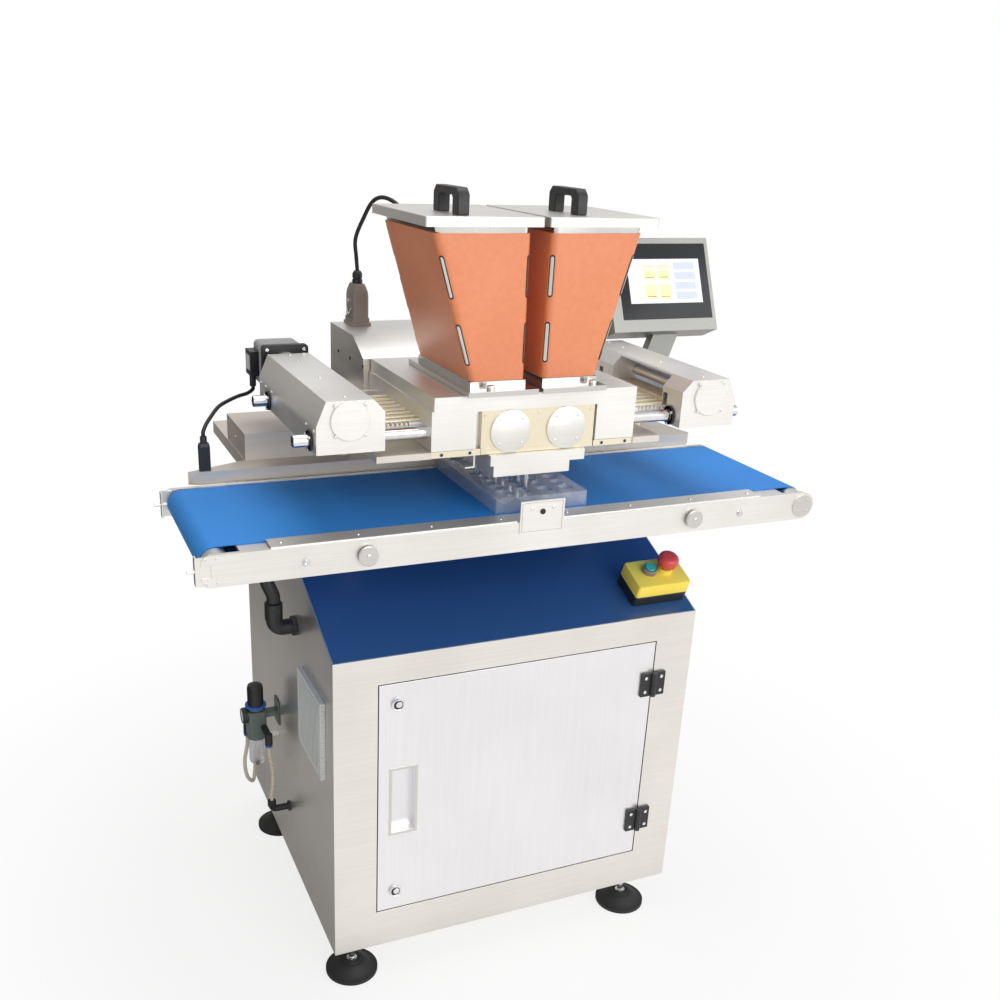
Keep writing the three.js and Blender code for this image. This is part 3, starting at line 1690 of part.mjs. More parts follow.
function cabinetMeshes() {
  const [upperLock, lowerLock] = lockHeights();
  const [upperHinge, lowerHinge] = hingeHeights();
  return [
    mesh("cabinet_shell", cabinetShell(), "steel"),
    mesh("cabinet_door", cabinetDoor(), "steel"),
    mesh("upper_lock", quarterTurn(upperLock, -1), "chrome"),
    mesh("lower_lock", quarterTurn(lowerLock, 1), "chrome"),
    mesh("upper_hinge_frame_leaf", hingeFrameLeaf(upperHinge), "black"),
    mesh("upper_hinge_door_leaf", hingeDoorLeaf(upperHinge), "black"),
    mesh("lower_hinge_frame_leaf", hingeFrameLeaf(lowerHinge), "black"),
    mesh("lower_hinge_door_leaf", hingeDoorLeaf(lowerHinge), "black"),
    ...Object.entries(footPlaces).map(([name, place]) => mesh(name, levellingFoot(place), "rubber")),
  ];
}

function wallMeshes() {
  return [
    mesh("vent_filter", ventFilter(), "lightGrey"),
    mesh("regulator_body", regulatorBody(), "grey"),
    mesh("regulator_knob", regulatorKnob(), "black"),
    mesh("hose_elbow", wallElbow(hoseElbow), "black"),
    mesh("conduit_elbow", conduitGland(), "black"),
  ];
}

function conveyorMeshes() {
  return [
    mesh("front_rail", frontRail(), "steel"),
    mesh("conveyor_frame", conveyorFrame(), "steel"),
    mesh("conveyor_belt", conveyorBelt(), "beltBlue"),
    mesh("drive_drum", beltRoller(roller.drive), "steel"),
    mesh("idler_roller", beltRoller(roller.idler), "steel"),
    mesh("chocolate_mould", chocolateMould(), "clear"),
  ];
}

function headMeshes() {
  return [
    mesh("machine_bed", machineBed(), "steel"),
    mesh("head_block", headBlock(), "steel"),
    mesh("front_plate", frontPlate(), "champagne"),
    mesh("nozzle_block", nozzles(), "steel"),
    mesh("valve_housing", valveHousing(), "steel"),
    mesh("cable_connector", cableConnector(), "grey"),
  ];
}

// What stands in a left and a right copy
function sideMeshes(name, side) {
  return [
    mesh(`${name}_valve_rotor`, valveRotor(valve[name]), "steel"),
    mesh(`${name}_hopper`, hopperShell(sides[name]), "steel"),
    mesh(`${name}_jacket`, heatingJacket(sides[name], side < 0), "orange"),
    mesh(`${name}_lid`, hopperLid(sides[name]), "steel"),
    mesh(`${name}_front_guide_shaft`, guideShaft(side, guide.front), "chrome"),
    mesh(`${name}_rear_guide_shaft`, guideShaft(side, guide.rear), "chrome"),
    mesh(`${name}_beam`, driveBeam(side), "steel"),
    mesh(`${name}_piston_set`, pistonSet(side), "champagne"),
    mesh(`${name}_pinion`, pinionShaft(side), "steel"),
  ];
}

function motorMeshes() {
  return [
    mesh("left_motor", join(gearMotor(-1, motors.left), terminalBox()), "grey"),
    mesh("right_motor", gearMotor(1, motors.right), "grey"),
  ];
}

function cordMeshes() {
  return [
    mesh("outlet_hose", tube(outletHose), "hose"),
    mesh("supply_hose", tube(supplyHose), "hose"),
    mesh("conduit", tube(conduit), "rubber"),
    mesh("heater_cable", tube(heaterCable), "rubber"),
    mesh("motor_cable", tube(motorCable), "grey"),
    mesh("motor_plug", motorPlug(), "black"),
  ];
}

// The machine stands with its origin under the middle of its box, which the cords don't count in
function chocolateDepositor() {
  const machine = new THREE.Group();
  machine.add(
    ...cabinetMeshes(),
    ...wallMeshes(),
    slopeGroup(),
    ...conveyorMeshes(),
    ...headMeshes(),
    ...sideMeshes("left", -1),
    ...sideMeshes("right", 1),
    ...motorMeshes(),
    touchPanelGroup(),
  );
  machine.updateMatrixWorld(true);
  const extent = new THREE.Box3().setFromObject(machine, true);
  const middle = extent.getCenter(new THREE.Vector3());
  machine.add(...cordMeshes());
  machine.position.set(-middle.x, -middle.y, -extent.min.z);
  const group = new THREE.Group();
  group.add(machine);
  return group;
}

export default chocolateDepositor();
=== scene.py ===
# %% [markdown]
# A chocolate depositor in a plain studio. The machine comes as a set of plain solids that already
# stand where they belong. This lesson gives each of them its real surface: brushed sheet, ground
# alloy, soft silicone, a printed screen, and rounded pieces where the solids are only faceted.

import json
import math

import bmesh
import bpy
import numpy as np
from mathutils import Matrix

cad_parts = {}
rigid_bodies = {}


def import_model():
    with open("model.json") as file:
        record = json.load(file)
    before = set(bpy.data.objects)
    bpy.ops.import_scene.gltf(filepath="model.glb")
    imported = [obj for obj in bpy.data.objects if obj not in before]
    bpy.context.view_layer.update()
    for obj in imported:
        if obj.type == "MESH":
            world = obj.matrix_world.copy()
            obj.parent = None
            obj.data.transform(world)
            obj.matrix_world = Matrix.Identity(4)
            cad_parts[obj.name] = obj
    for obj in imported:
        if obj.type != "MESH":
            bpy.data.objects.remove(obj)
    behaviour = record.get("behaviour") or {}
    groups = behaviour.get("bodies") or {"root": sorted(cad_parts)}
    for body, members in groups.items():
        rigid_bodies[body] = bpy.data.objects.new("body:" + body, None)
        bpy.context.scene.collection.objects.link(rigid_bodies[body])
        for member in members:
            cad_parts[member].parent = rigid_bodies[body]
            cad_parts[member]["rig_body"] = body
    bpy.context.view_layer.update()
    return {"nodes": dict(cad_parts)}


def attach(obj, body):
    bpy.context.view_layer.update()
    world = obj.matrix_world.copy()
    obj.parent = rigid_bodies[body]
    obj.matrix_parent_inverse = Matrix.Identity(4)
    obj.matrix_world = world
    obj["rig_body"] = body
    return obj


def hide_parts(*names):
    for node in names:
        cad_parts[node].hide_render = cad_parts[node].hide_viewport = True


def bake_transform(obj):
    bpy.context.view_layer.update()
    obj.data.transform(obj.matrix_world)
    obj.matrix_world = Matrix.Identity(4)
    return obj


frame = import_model()

# %% [markdown]
# The machine was measured in millimetres from the middle of its belt, and its own origin lies on the
# floor under the middle of its box. Keeping the measured numbers and turning them into metres in one
# place is easier to check than converting each number by hand.

# %% Millimetres of the drawing to metres of the scene
MIDDLE = np.array([0.5, 349.5, 0.0])
SLOPE = math.radians(22.9)
TILT = math.radians(24.0)


def metres(points):
    """Each point minus the middle of the machine's box on the floor, over a thousand."""
    return (np.asarray(points, float) - MIDDLE) / 1000.0


def on_slope(points):
    """Points (x, up the slope, off the slope) turned about x by the slope and set on its front edge."""
    x, up, off = np.moveaxis(np.asarray(points, float), -1, 0)
    y = 51.0 + up * math.cos(SLOPE) - off * math.sin(SLOPE)
    z = 678.0 + up * math.sin(SLOPE) + off * math.cos(SLOPE)
    return np.stack([x, y, z], -1)


def on_screen(points):
    """Points (x, into the case, up its face) turned back about x by the tilt and set on its foot."""
    x, deep, up = np.moveaxis(np.asarray(points, float), -1, 0)
    y = 400.0 + deep * math.cos(TILT) + up * math.sin(TILT)
    z = 1150.0 - deep * math.sin(TILT) + up * math.cos(TILT)
    return np.stack([x + 469.0, y, z], -1)


# %% [markdown]
# The camera stands where the photographer stood. Its place, its three angles and its focal length
# come from the machine's straight edges. The middle of the lens doesn't fall on the middle of the
# picture, which the lens shift gives back.

# %% Camera
AZIMUTH, ELEVATION, ROLL = -0.41554, 0.39166, 0.04151
FOCAL_PIXELS, LENS_MIDDLE, PICTURE = 1096.6, (466.9, 579.0), 1000.0


def look(azimuth, elevation, roll):
    """Right, up and backward directions of a camera that looks from that side, from that height, rolled."""
    back = np.array(
        [
            math.sin(azimuth) * math.cos(elevation), -math.cos(azimuth) * math.cos(elevation),
            math.sin(elevation)
        ]
    )
    right = np.cross(-back, [0.0, 0.0, 1.0])
    right /= np.linalg.norm(right)
    up = np.cross(right, -back)
    rolled = right * math.cos(roll) + up * math.sin(roll)
    return rolled, np.cross(back, rolled), back


def placed(name, data):
    """A new object in the scene with the given mesh, lamp or lens."""
    made = bpy.data.objects.new(name, data)
    bpy.context.scene.collection.objects.link(made)
    return made


def stand(made, axes, place):
    """Gives an object its right, up and backward directions and its place, as one four by four frame."""
    whole = np.eye(4)
    whole[:3, :3] = np.stack(axes, 1)
    whole[:3, 3] = place
    made.matrix_world = Matrix(whole.tolist())


lens = bpy.data.cameras.new("camera")
lens.sensor_width = 36.0
lens.lens = FOCAL_PIXELS / PICTURE * lens.sensor_width
lens.shift_x = (PICTURE / 2 - LENS_MIDDLE[0]) / PICTURE
lens.shift_y = (LENS_MIDDLE[1] - PICTURE / 2) / PICTURE
lens.clip_end = 100.0
camera = placed("camera", lens)
stand(camera, look(AZIMUTH, ELEVATION, ROLL), metres([-819.6, -1546.7, 1526.5]))
bpy.context.scene.camera = camera
print("camera at", [round(float(v), 3) for v in camera.location], "lens", round(lens.lens, 2))

# %% [markdown]
# A studio needs a floor that takes the shadow and a room that metal can mirror. The camera, and clear
# plastic before it, see the room white. Metal mirrors another one: bright in front of the machine,
# dimmer behind it and towards the ceiling, and darker and warmer on its left, as in a workshop hall.
# Matt surfaces get less of that light, so that pale pieces don't burn out.

# %% Nodes of a material
def blank(kind, name):
    """A new material or world with an empty node tree, and that tree."""
    made = kind.new(name)
    made.use_nodes = True
    made.node_tree.nodes.clear()
    return made, made.node_tree


def node(tree, kind, settings=None, inputs=None):
    """One node with its own settings. Inputs are plain values, sockets, or nodes that give their first
    output."""
    made = tree.nodes.new("ShaderNode" + kind)
    for key, value in (settings or {}).items():
        setattr(made, key, value)
    for key, value in (inputs or {}).items():
        if isinstance(value, bpy.types.Node):
            value = value.outputs[0]
        if isinstance(value, bpy.types.NodeSocket):
            tree.links.new(value, made.inputs[key])
        else:
            made.inputs[key].default_value = value
    return made


def reckoned(tree, kind, a, b=0.5):
    """A sum on one or two numbers or sockets, such as ADD or MAXIMUM."""
    return node(tree, "Math", {"operation": kind}, {0: a, 1: b}).outputs[0]


def linear(code):
    """A written colour such as #336699 as light: each channel is bent by the screen's own curve."""
    parts = np.array([int(code[i : i + 2], 16) for i in (1, 3, 5)]) / 255.0
    light = np.where(parts <= 0.04045, parts / 12.92, ((parts + 0.055) / 1.055) ** 2.4)
    return (*light.tolist(), 1.0)


# %% Room
def ramp(tree, value, start, end, low, high):
    """A soft step: low before the start, high after the end, and a smooth curve between them."""
    settings = {"interpolation_type": "SMOOTHSTEP"}
    inputs = {"Value": value, "From Min": start, "From Max": end, "To Min": low, "To Max": high}
    return node(tree, "MapRange", settings, inputs).outputs[0]


def blended(tree, share, a, b):
    """Between two numbers or two sockets by a share."""
    return node(tree, "Mix", {"data_type": "FLOAT"}, {0: share, 2: a, 3: b}).outputs[0]


def plainly_seen(tree, rays):
    """One for rays from the camera and through clear plastic, and nought for all others."""
    return reckoned(tree, "MAXIMUM", rays.outputs["Is Camera Ray"], rays.outputs["Is Transmission Ray"])


WHITE = (1.0, 1.0, 1.0, 1.0)
FRONT_GLOW, LEFT_GLOW = 1.04, 0.42
BACK_GLOW, CEILING_GLOW = 0.92, 0.62
CEILING, LEFT_SIDE, FRONT_SIDE = (0.06, 0.28), (-0.3, 0.1), (-0.35, 0.1)
MATT_SHARE = 0.62
LEFT_TONE = (0.9, 0.86, 0.81, 1.0)

view = bpy.context.scene.view_settings
view.view_transform = "Standard"
bpy.context.scene.world, tree = blank(bpy.data.worlds, "room")
rays = node(tree, "LightPath")
way = node(tree, "SeparateXYZ", None, {0: node(tree, "TexCoord").outputs["Generated"]})
behind = ramp(tree, way.outputs["Z"], *CEILING, BACK_GLOW, CEILING_GLOW)
leftness = ramp(tree, way.outputs["X"], *LEFT_SIDE, 1.0, 0.0)
behind = blended(tree, leftness, behind, LEFT_GLOW)
glow = blended(tree, ramp(tree, way.outputs["Y"], *FRONT_SIDE, 0.0, 1.0), FRONT_GLOW, behind)
matt = blended(tree, rays.outputs["Is Glossy Ray"], MATT_SHARE, 1.0)
strength = reckoned(tree, "MULTIPLY", glow, matt)
tone = node(tree, "Mix", {"data_type": "RGBA"}, {0: leftness, 6: WHITE, 7: LEFT_TONE})
lighting = node(tree, "Background", None, {"Color": tone.outputs[2], "Strength": strength})
white = node(tree, "Background", None, {"Color": WHITE, "Strength": 1.0})
seen = plainly_seen(tree, rays)
mix = node(tree, "MixShader", None, {0: seen, 1: lighting, 2: white})
node(tree, "OutputWorld", None, {"Surface": mix})

# %% Floor and lamps
FLOOR_RADIUS, FLOOR_SIDES = 7.0, 96
NEAR_WHITE, WHITE_FROM_TO = 0.78, (0.55, 1.5)
FLOOR_TONE = (1.0, 0.975, 0.945, 1.0)
MIRRORED_FLOOR = {"front": 1.02, "around": 0.75, "far_left": 0.05, "left": 0.44, "near_left": 0.26}


def mirrored_level(tree, at):
    """How bright metal sees the floor at a place: bright in front, dark by the left wall and far left."""
    level = MIRRORED_FLOOR
    x, y = at.outputs["X"], at.outputs["Y"]
    beside = ramp(tree, x, -1.0, -0.7, level["far_left"], level["left"])
    beside = blended(tree, ramp(tree, x, -0.62, -0.42, 0.0, 1.0), beside, level["near_left"])
    around = blended(tree, ramp(tree, x, -0.4, -0.2, 1.0, 0.0), level["around"], beside)
    return blended(tree, ramp(tree, y, -0.45, -0.25, 0.0, 1.0), level["front"], around)


def studio_floor():
    """A disc of floor. Its own white takes over from the lit white towards its rim, and metal mirrors
    a room's floor in it: brighter in front of the machine, darker on its left."""
    mesh = bpy.data.meshes.new("floor")
    turn = np.linspace(0, 2 * math.pi, FLOOR_SIDES, endpoint=False)
    rim = FLOOR_RADIUS * np.stack([np.cos(turn), np.sin(turn), np.zeros_like(turn)], -1)
    mesh.from_pydata(rim.tolist(), [], [tuple(range(FLOOR_SIDES))])
    floor = placed("floor", mesh)
    made, tree = blank(bpy.data.materials, "floor_white")
    place = node(tree, "TexCoord").outputs["Object"]
    at = node(tree, "SeparateXYZ", None, {0: place})
    far = node(tree, "VectorMath", {"operation": "LENGTH"}, {0: place}).outputs["Value"]
    rays = node(tree, "LightPath")
    outwards = ramp(tree, far, *WHITE_FROM_TO, NEAR_WHITE, 1.0)
    own = reckoned(tree, "MULTIPLY", outwards, plainly_seen(tree, rays))
    lit = node(tree, "BsdfDiffuse", None, {"Color": (0.9, 0.9, 0.9, 1.0)})
    white = node(tree, "Emission", None, {"Color": WHITE, "Strength": 1.0})
    shown_floor = node(tree, "MixShader", None, {0: own, 1: lit, 2: white})
    level = mirrored_level(tree, at)
    mirrored = node(tree, "Emission", None, {"Color": FLOOR_TONE, "Strength": level})
    ways = {0: rays.outputs["Is Glossy Ray"], 1: shown_floor, 2: mirrored}
    mix = node(tree, "MixShader", None, ways)
    node(tree, "OutputMaterial", None, {"Surface": mix})
    mesh.materials.append(made)


def lamp(name, place, aim, size, watts):
    """A square softbox at a place, turned to face the point that it is aimed at."""
    data = bpy.data.lights.new(name, "AREA")
    data.shape, data.size, data.energy = "SQUARE", size, watts
    back = np.array(place, float) - np.array(aim, float)
    back /= np.linalg.norm(back)
    right = np.cross([0.0, 0.0, 1.0], back)
    right /= np.linalg.norm(right)
    stand(placed(name, data), [right, np.cross(back, right), back], place)


studio_floor()
lamp("key_light", (0.8, -4.2, 2.6), (0, 0, 0.7), 3.0, 72)
lamp("top_light", (0.2, 0.6, 4.3), (0, 0.05, 0.9), 2.6, 60)
lamp("fill_light", (3.2, -2.4, 2.2), (0, 0, 0.7), 2.4, 20)
print("studio: floor, room and three lamps")

# %% [markdown]
# Every finish of the machine comes from one recipe: a Principled shader, a fine noise that gives the
# grain, and a broad noise that gives the slow change over a sheet. Brushed steel stretches the fine
# noise along the brushing, which on the sides of a box runs the other way, so the surface's own
# direction picks between two stretched noises. Sheet steel needs no picture for that.

# %% The recipe of a finish
BRUSHED = ((4, 500, 500), (500, 4, 500))
GROUND = ((9, 900, 900), (900, 9, 900))
UPRIGHT = (500, 500, 5)
GRAIN_DEPTH = 0.0004


def grain_noise(tree, place, scale):
    """A noise at one scale, or one for each axis: a small scale draws the grain out along that axis."""
    scale = scale if isinstance(scale, tuple) else (scale,) * 3
    stretched = node(tree, "Mapping", None, {"Vector": place, "Scale": scale})
    inputs = {"Vector": stretched, "Scale": 1.0, "Detail": 3.0, "Roughness": 0.6}
    return node(tree, "TexNoise", None, inputs).outputs["Fac"]


def grain_by_side(tree, place, grain, side):
    """One grain where the surface faces mostly along x, and the other one elsewhere."""
    facing = node(tree, "SeparateXYZ", None, {0: place.outputs["Normal"]})
    chosen = reckoned(tree, "GREATER_THAN", reckoned(tree, "ABSOLUTE", facing.outputs["X"]), 0.7)
    return blended(tree, chosen, grain, grain_noise(tree, place.outputs["Object"], side))


def finish(name, slot, low, high, rough, metal=0.0, grain=200, side=None, bump=0.1, broad=5.0, **plain):
    """Base colour and roughness run between two values with the sum of a fine and a broad noise."""
    made, tree = blank(bpy.data.materials, name)
    place = node(tree, "TexCoord")
    grained = grain_noise(tree, place.outputs["Object"], grain)
    if side:
        grained = grain_by_side(tree, place, grained, side)
    cloud = node(tree, "TexNoise", None, {"Vector": place.outputs["Object"], "Scale": broad, "Detail": 2.0})
    mixed = reckoned(tree, "ADD", grained, cloud.outputs["Fac"])
    share = node(tree, "MapRange", None, {"Value": mixed, "From Min": 0.7, "From Max": 1.3})
    colour = node(tree, "Mix", {"data_type": "RGBA"}, {0: share, 6: linear(low), 7: linear(high)})
    dull = node(tree, "MapRange", None, {"Value": share, "To Min": rough[0], "To Max": rough[1]})
    raised = node(tree, "Bump", None, {"Strength": bump, "Distance": GRAIN_DEPTH, "Height": grained})
    surface = {"Base Color": colour.outputs[2], "Roughness": dull, "Metallic": metal}
    extra = {key.replace("_", " "): value for key, value in plain.items()}
    shader = node(tree, "BsdfPrincipled", None, {**surface, "Normal": raised, **extra})
    node(tree, "OutputMaterial", None, {"Surface": shader})
    made["slot"] = slot
    return made


def thinned(made, share):
    """Lets a share of the light straight through a finish, as thin clear plastic does."""
    tree = made.node_tree
    end = tree.nodes["Material Output"].inputs["Surface"]
    through = node(tree, "BsdfTransparent", None, {"Color": (0.94, 0.97, 1.0, 1.0)})
    mix = node(tree, "MixShader", None, {0: share, 1: end.links[0].from_socket, 2: through})
    tree.links.new(mix.outputs[0], end)
    return made


# %% Finishes
steel = finish("brushed_steel", "steel", "#DEDBD6", "#E9E7E3", (0.28, 0.4), 0.95, *BRUSHED, 0.03)
lid_steel = finish("lid_steel", "steel", "#D2D0CC", "#DDDBD8", (0.34, 0.44), 0.9, *BRUSHED, 0.02)
bed_steel = finish("bed_steel", "steel", "#CFC8BF", "#DAD4CC", (0.46, 0.58), 0.75, *BRUSHED, 0.02)
door_steel = finish("door_steel", "steel", "#E6E6EA", "#EEEEF1", (0.3, 0.38), 0.95, UPRIGHT, bump=0.015)
mirror_steel = finish("smooth_steel", "steel", "#D2D1CE", "#D2D1CE", (0.12, 0.2), 1.0, 200, bump=0.02)
alloy = finish("ground_alloy", "alloy", "#E0DEDA", "#ECEBE8", (0.34, 0.46), 0.85, *GROUND, 0.08)
chrome = finish("chrome", "chrome", "#D6D8DB", "#E6E7E9", (0.06, 0.12), 1.0, 150, bump=0.01)
champagne = finish("champagne_alloy", "champagne", "#DFD6BE", "#E9E0CA", (0.36, 0.46), 0.7, 400, bump=0.05)
cream = finish("cream_rod", "champagne", "#DDD3B4", "#EBE2C8", (0.3, 0.4), 0.35, 300, bump=0.03)
silicone = finish(
    "orange_silicone", "orange_silicone", "#E28352", "#EA8F60", (0.5, 0.62), 0.0, 90, bump=0.1, broad=7.0,
    Coat_Weight=0.8, Coat_Roughness=0.32
)
belt_blue = finish(
    "belt_blue", "belt_blue", "#1F80D6", "#2A8CE0", (0.55, 0.65), 0.0, 900, bump=0.12, broad=3.0
)
panel_blue = finish(
    "panel_blue", "dark_blue_paint", "#2C5184", "#31588E", (0.3, 0.38), 0.0, 500, bump=0.06, broad=2.0
)
yellow = finish("yellow_plastic", "yellow_plastic", "#FBE052", "#FDE864", (0.28, 0.38), 0.0, 700, bump=0.08)
teal = finish("teal_plastic", "teal_plastic", "#35B0A4", "#3FBBAF", (0.22, 0.3), 0.0, 300, bump=0.03)
red = finish("red_plastic", "red_plastic", "#D8453F", "#E05550", (0.24, 0.34), 0.0, 300, bump=0.04)
black = finish("black_plastic", "black_plastic", "#1B1C1F", "#26272A", (0.36, 0.5), 0.0, 900, bump=0.12)
rubber = finish("black_rubber", "black_rubber", "#17181A", "#242527", (0.55, 0.7), 0.0, 500, bump=0.2)
motor_grey = finish("motor_grey", "grey_paint", "#A2A4A6", "#AEB0B2", (0.42, 0.52), 0.15, 600, bump=0.1)
body_grey = finish("fitting_grey", "grey_paint", "#5F6A66", "#6F7A76", (0.38, 0.5), 0.1, 500, bump=0.1)
pale_grey = finish(
    "pale_grey_plastic", "light_grey_plastic", "#CDD1D1", "#D8DCDC", (0.5, 0.62), 0.0, 800, bump=0.1
)
case_grey = finish("case_grey", "steel", "#9A9A97", "#A6A6A2", (0.34, 0.46), 0.8, UPRIGHT, bump=0.02)
hood_grey = finish("hood_grey", "grey_plastic", "#827B75", "#928B85", (0.4, 0.5), 0.2, 800, bump=0.12)
blue_ring = finish("blue_ring", "black_plastic", "#2A56A8", "#3364BC", (0.35, 0.45), 0.0, 400, bump=0.05)
hose = finish(
    "hose_plastic", "hose_plastic", "#E6DEC9", "#EFE8D8", (0.25, 0.35), 0.0, 200, bump=0.03,
    Transmission_Weight=0.35
)
clear = finish(
    "clear_plastic", "clear_plastic", "#F4F7FA", "#FCFDFE", (0.06, 0.14), 0.0, 200, bump=0.02,
    Transmission_Weight=0.72, IOR=1.45
)
thinned(clear, 0.35)
dark_glass = finish(
    "screen_glass", "black_plastic", "#0B0D12", "#10131A", (0.08, 0.14), 0.0, 200, bump=0.01, IOR=1.5
)
print(len(bpy.data.materials), "finishes")

# %% [markdown]
# New pieces are grids of points. A profile that spins about an axis gives feet, knobs and screws, an
# outline pushed along an axis gives plates, and a circle carried along a path gives hoses. Each of
# them is one formula over whole arrays, which is faster and clearer than adding points one by one.

# %% Surfaces from formulas
ACROSS = {
    "x": ([0, 1, 0], [0, 0, 1], [1, 0, 0]),
    "y": ([1, 0, 0], [0, 0, 1], [0, 1, 0]),
    "z": ([1, 0, 0], [0, 1, 0], [0, 0, 1]),
}


def skin(points, wrap_u=False, wrap_v=False):
    """A grid of points as a surface: each cell between four neighbours is one face, and a wrapped side
    goes on from its last row to its first."""
    points = np.asarray(points, float)
    nu, nv = points.shape[:2]
    rows, columns = np.arange(nu if wrap_u else nu - 1), np.arange(nv if wrap_v else nv - 1)
    i, j = np.meshgrid(rows, columns, indexing="ij")
    a, b = i * nv + j, (i + 1) % nu * nv + j
    c, d = (i + 1) % nu * nv + (j + 1) % nv, i * nv + (j + 1) % nv
    return points.reshape(-1, 3), np.stack([a, b, c, d], -1).reshape(-1, 4).tolist()


def lidded(rings):
    """Closed loops of equal counts joined in a row, with the first and the last one filled."""
    rings = np.asarray(rings, float)
    points, faces = skin(rings, False, True)
    count = rings.shape[1]
    last = (len(rings) - 1) * count
    return points, faces + [list(range(count)), list(range(last, last + count))]


def together(*parts):
    """Several surfaces as one: the points in a row, each surface's faces counted on from the ones before."""
    points, faces, start = [], [], 0
    for some, cells in parts:
        points.append(some)
        faces += [[start + k for k in cell] for cell in cells]
        start += len(some)
    return np.concatenate(points), faces


def turned(profile, centre, axis="z", sides=40):
    """A profile of (radius, height) spun about an axis. Each point is the centre, plus the height along
    the axis, plus the radius times the cosine and the sine of the angle across it."""
    u, v, w = (np.array(d, float) for d in ACROSS[axis])
    angle = np.linspace(0, 2 * math.pi, sides, endpoint=False)
    radius, height = np.asarray(profile, float).T
    round_ = np.cos(angle)[:, None] * u + np.sin(angle)[:, None] * v
    along = np.array(centre, float) + height[:, None, None] * w
    return skin(along + radius[:, None, None] * round_, False, True)


def spun(profile, centre, axis="z", sides=40):
    """A profile spun about an axis, with flat ends: its first and its last point are joined to the axis."""
    ends = [(0, profile[0][1]), *profile, (0, profile[-1][1])]
    return turned(ends, centre, axis, sides)


def pushed(outline, axis, span):
    """An outline across an axis, as (y, z), (x, z) or (x, y), pushed from one place on it to another."""
    u, v, w = (np.array(d, float) for d in ACROSS[axis])
    outline = np.asarray(outline, float)
    flat = outline[:, :1] * u + outline[:, 1:] * v
    return lidded([flat + w * at for at in span])


def plate(x, y, z):
    """A bar between pairs of x, y and z, as an outline in plan pushed upwards."""
    return pushed([(x[0], y[0]), (x[1], y[0]), (x[1], y[1]), (x[0], y[1])], "z", z)


def rounded(a, b, radius, steps=6):
    """A rectangle with a quarter circle of the radius at each corner, as one closed outline."""
    turn = np.linspace(0, math.pi / 2, steps + 1)
    arc = radius * np.stack([np.cos(turn), np.sin(turn)], -1)
    quarters = [arc, np.stack([-arc[:, 1], arc[:, 0]], -1), -arc, np.stack([arc[:, 1], -arc[:, 0]], -1)]
    right, left, high, low = a[1] - radius, a[0] + radius, b[1] - radius, b[0] + radius
    corners = [(right, high), (left, high), (left, low), (right, low)]
    return np.concatenate([quarter + np.array(corner) for quarter, corner in zip(quarters, corners)])


def stepped(x, y, radius, steps, follow=0):
    """Rounded rectangles at rising heights, each drawn in by its step, with the first and last filled."""
    rings = []
    for inward, z in steps:
        span_x, span_y = (x[0] + inward, x[1] - inward), (y[0] + inward, y[1] - inward)
        ring = rounded(span_x, span_y, radius - follow * inward)
        rings.append(np.c_[ring, np.full(len(ring), z)])
    return lidded(rings)


def carried(route, radius, sides=14):
    """A circle carried along a path. At each point its plane is turned from the one before by the least
    turn, so a hose isn't wrung."""
    route = np.asarray(route, float)
    ahead = np.gradient(route, axis=0)
    ahead /= np.linalg.norm(ahead, axis=1)[:, None]
    across = np.cross(ahead[0], [0.0, 0.0, 1.0] if abs(ahead[0][2]) < 0.9 else [0.0, 1.0, 0.0])
    frames = []
    for way in ahead:
        across = across - way * (across @ way)
        across /= np.linalg.norm(across)
        frames.append((across, np.cross(way, across)))
    u, v = (np.array(f) for f in zip(*frames))
    angle = np.linspace(0, 2 * math.pi, sides, endpoint=False)
    ring = np.cos(angle)[:, None] * u[:, None] + np.sin(angle)[:, None] * v[:, None]
    return lidded(route[:, None] + radius * ring)


def smooth_path(points, each=8):
    """A curve through points: between two of them it is the cubic that has the mean direction at both."""
    p = np.asarray(points, float)
    p = np.concatenate([[2 * p[0] - p[1]], p, [2 * p[-1] - p[-2]]])
    gap = np.linalg.norm(np.diff(p, axis=0), axis=1) ** 0.5
    found = []
    for i in range(1, len(p) - 2):
        d0, d1, d2 = gap[i - 1], gap[i], gap[i + 1]
        m1 = ((p[i] - p[i - 1]) / d0 - (p[i + 1] - p[i - 1]) / (d0 + d1) + (p[i + 1] - p[i]) / d1) * d1
        m2 = ((p[i + 1] - p[i]) / d1 - (p[i + 2] - p[i]) / (d1 + d2) + (p[i + 2] - p[i + 1]) / d2) * d1
        t = np.linspace(0, 1, each, endpoint=False)[:, None]
        a, b = 2 * t**3 - 3 * t**2 + 1, -2 * t**3 + 3 * t**2
        found.append(a * p[i] + b * p[i + 1] + (t**3 - 2 * t**2 + t) * m1 + (t**3 - t**2) * m2)
    return np.concatenate(found + [p[-2:-1]])


# %% From a surface to a piece of the machine
def dress(mesh, name, material, solid, body, bevel, angle):
    """Links a mesh as a piece, rounds its edges and gives it its finish. It rides on the body of
    the solid that it stands for, or on the one that is named."""
    made = placed(name, mesh)
    mesh.materials.clear()
    mesh.materials.append(material)
    mesh.shade_smooth()
    mesh.set_sharp_from_angle(angle=math.radians(angle))
    if bevel:
        edge = made.modifiers.new("edge", "BEVEL")
        edge.width, edge.segments, edge.limit_method = bevel / 1000.0, 2, "ANGLE"
        edge.angle_limit, edge.harden_normals = math.radians(angle), True
    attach(made, frame["nodes"][solid]["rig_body"] if solid else body)
    if solid:
        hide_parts(solid)
    return made


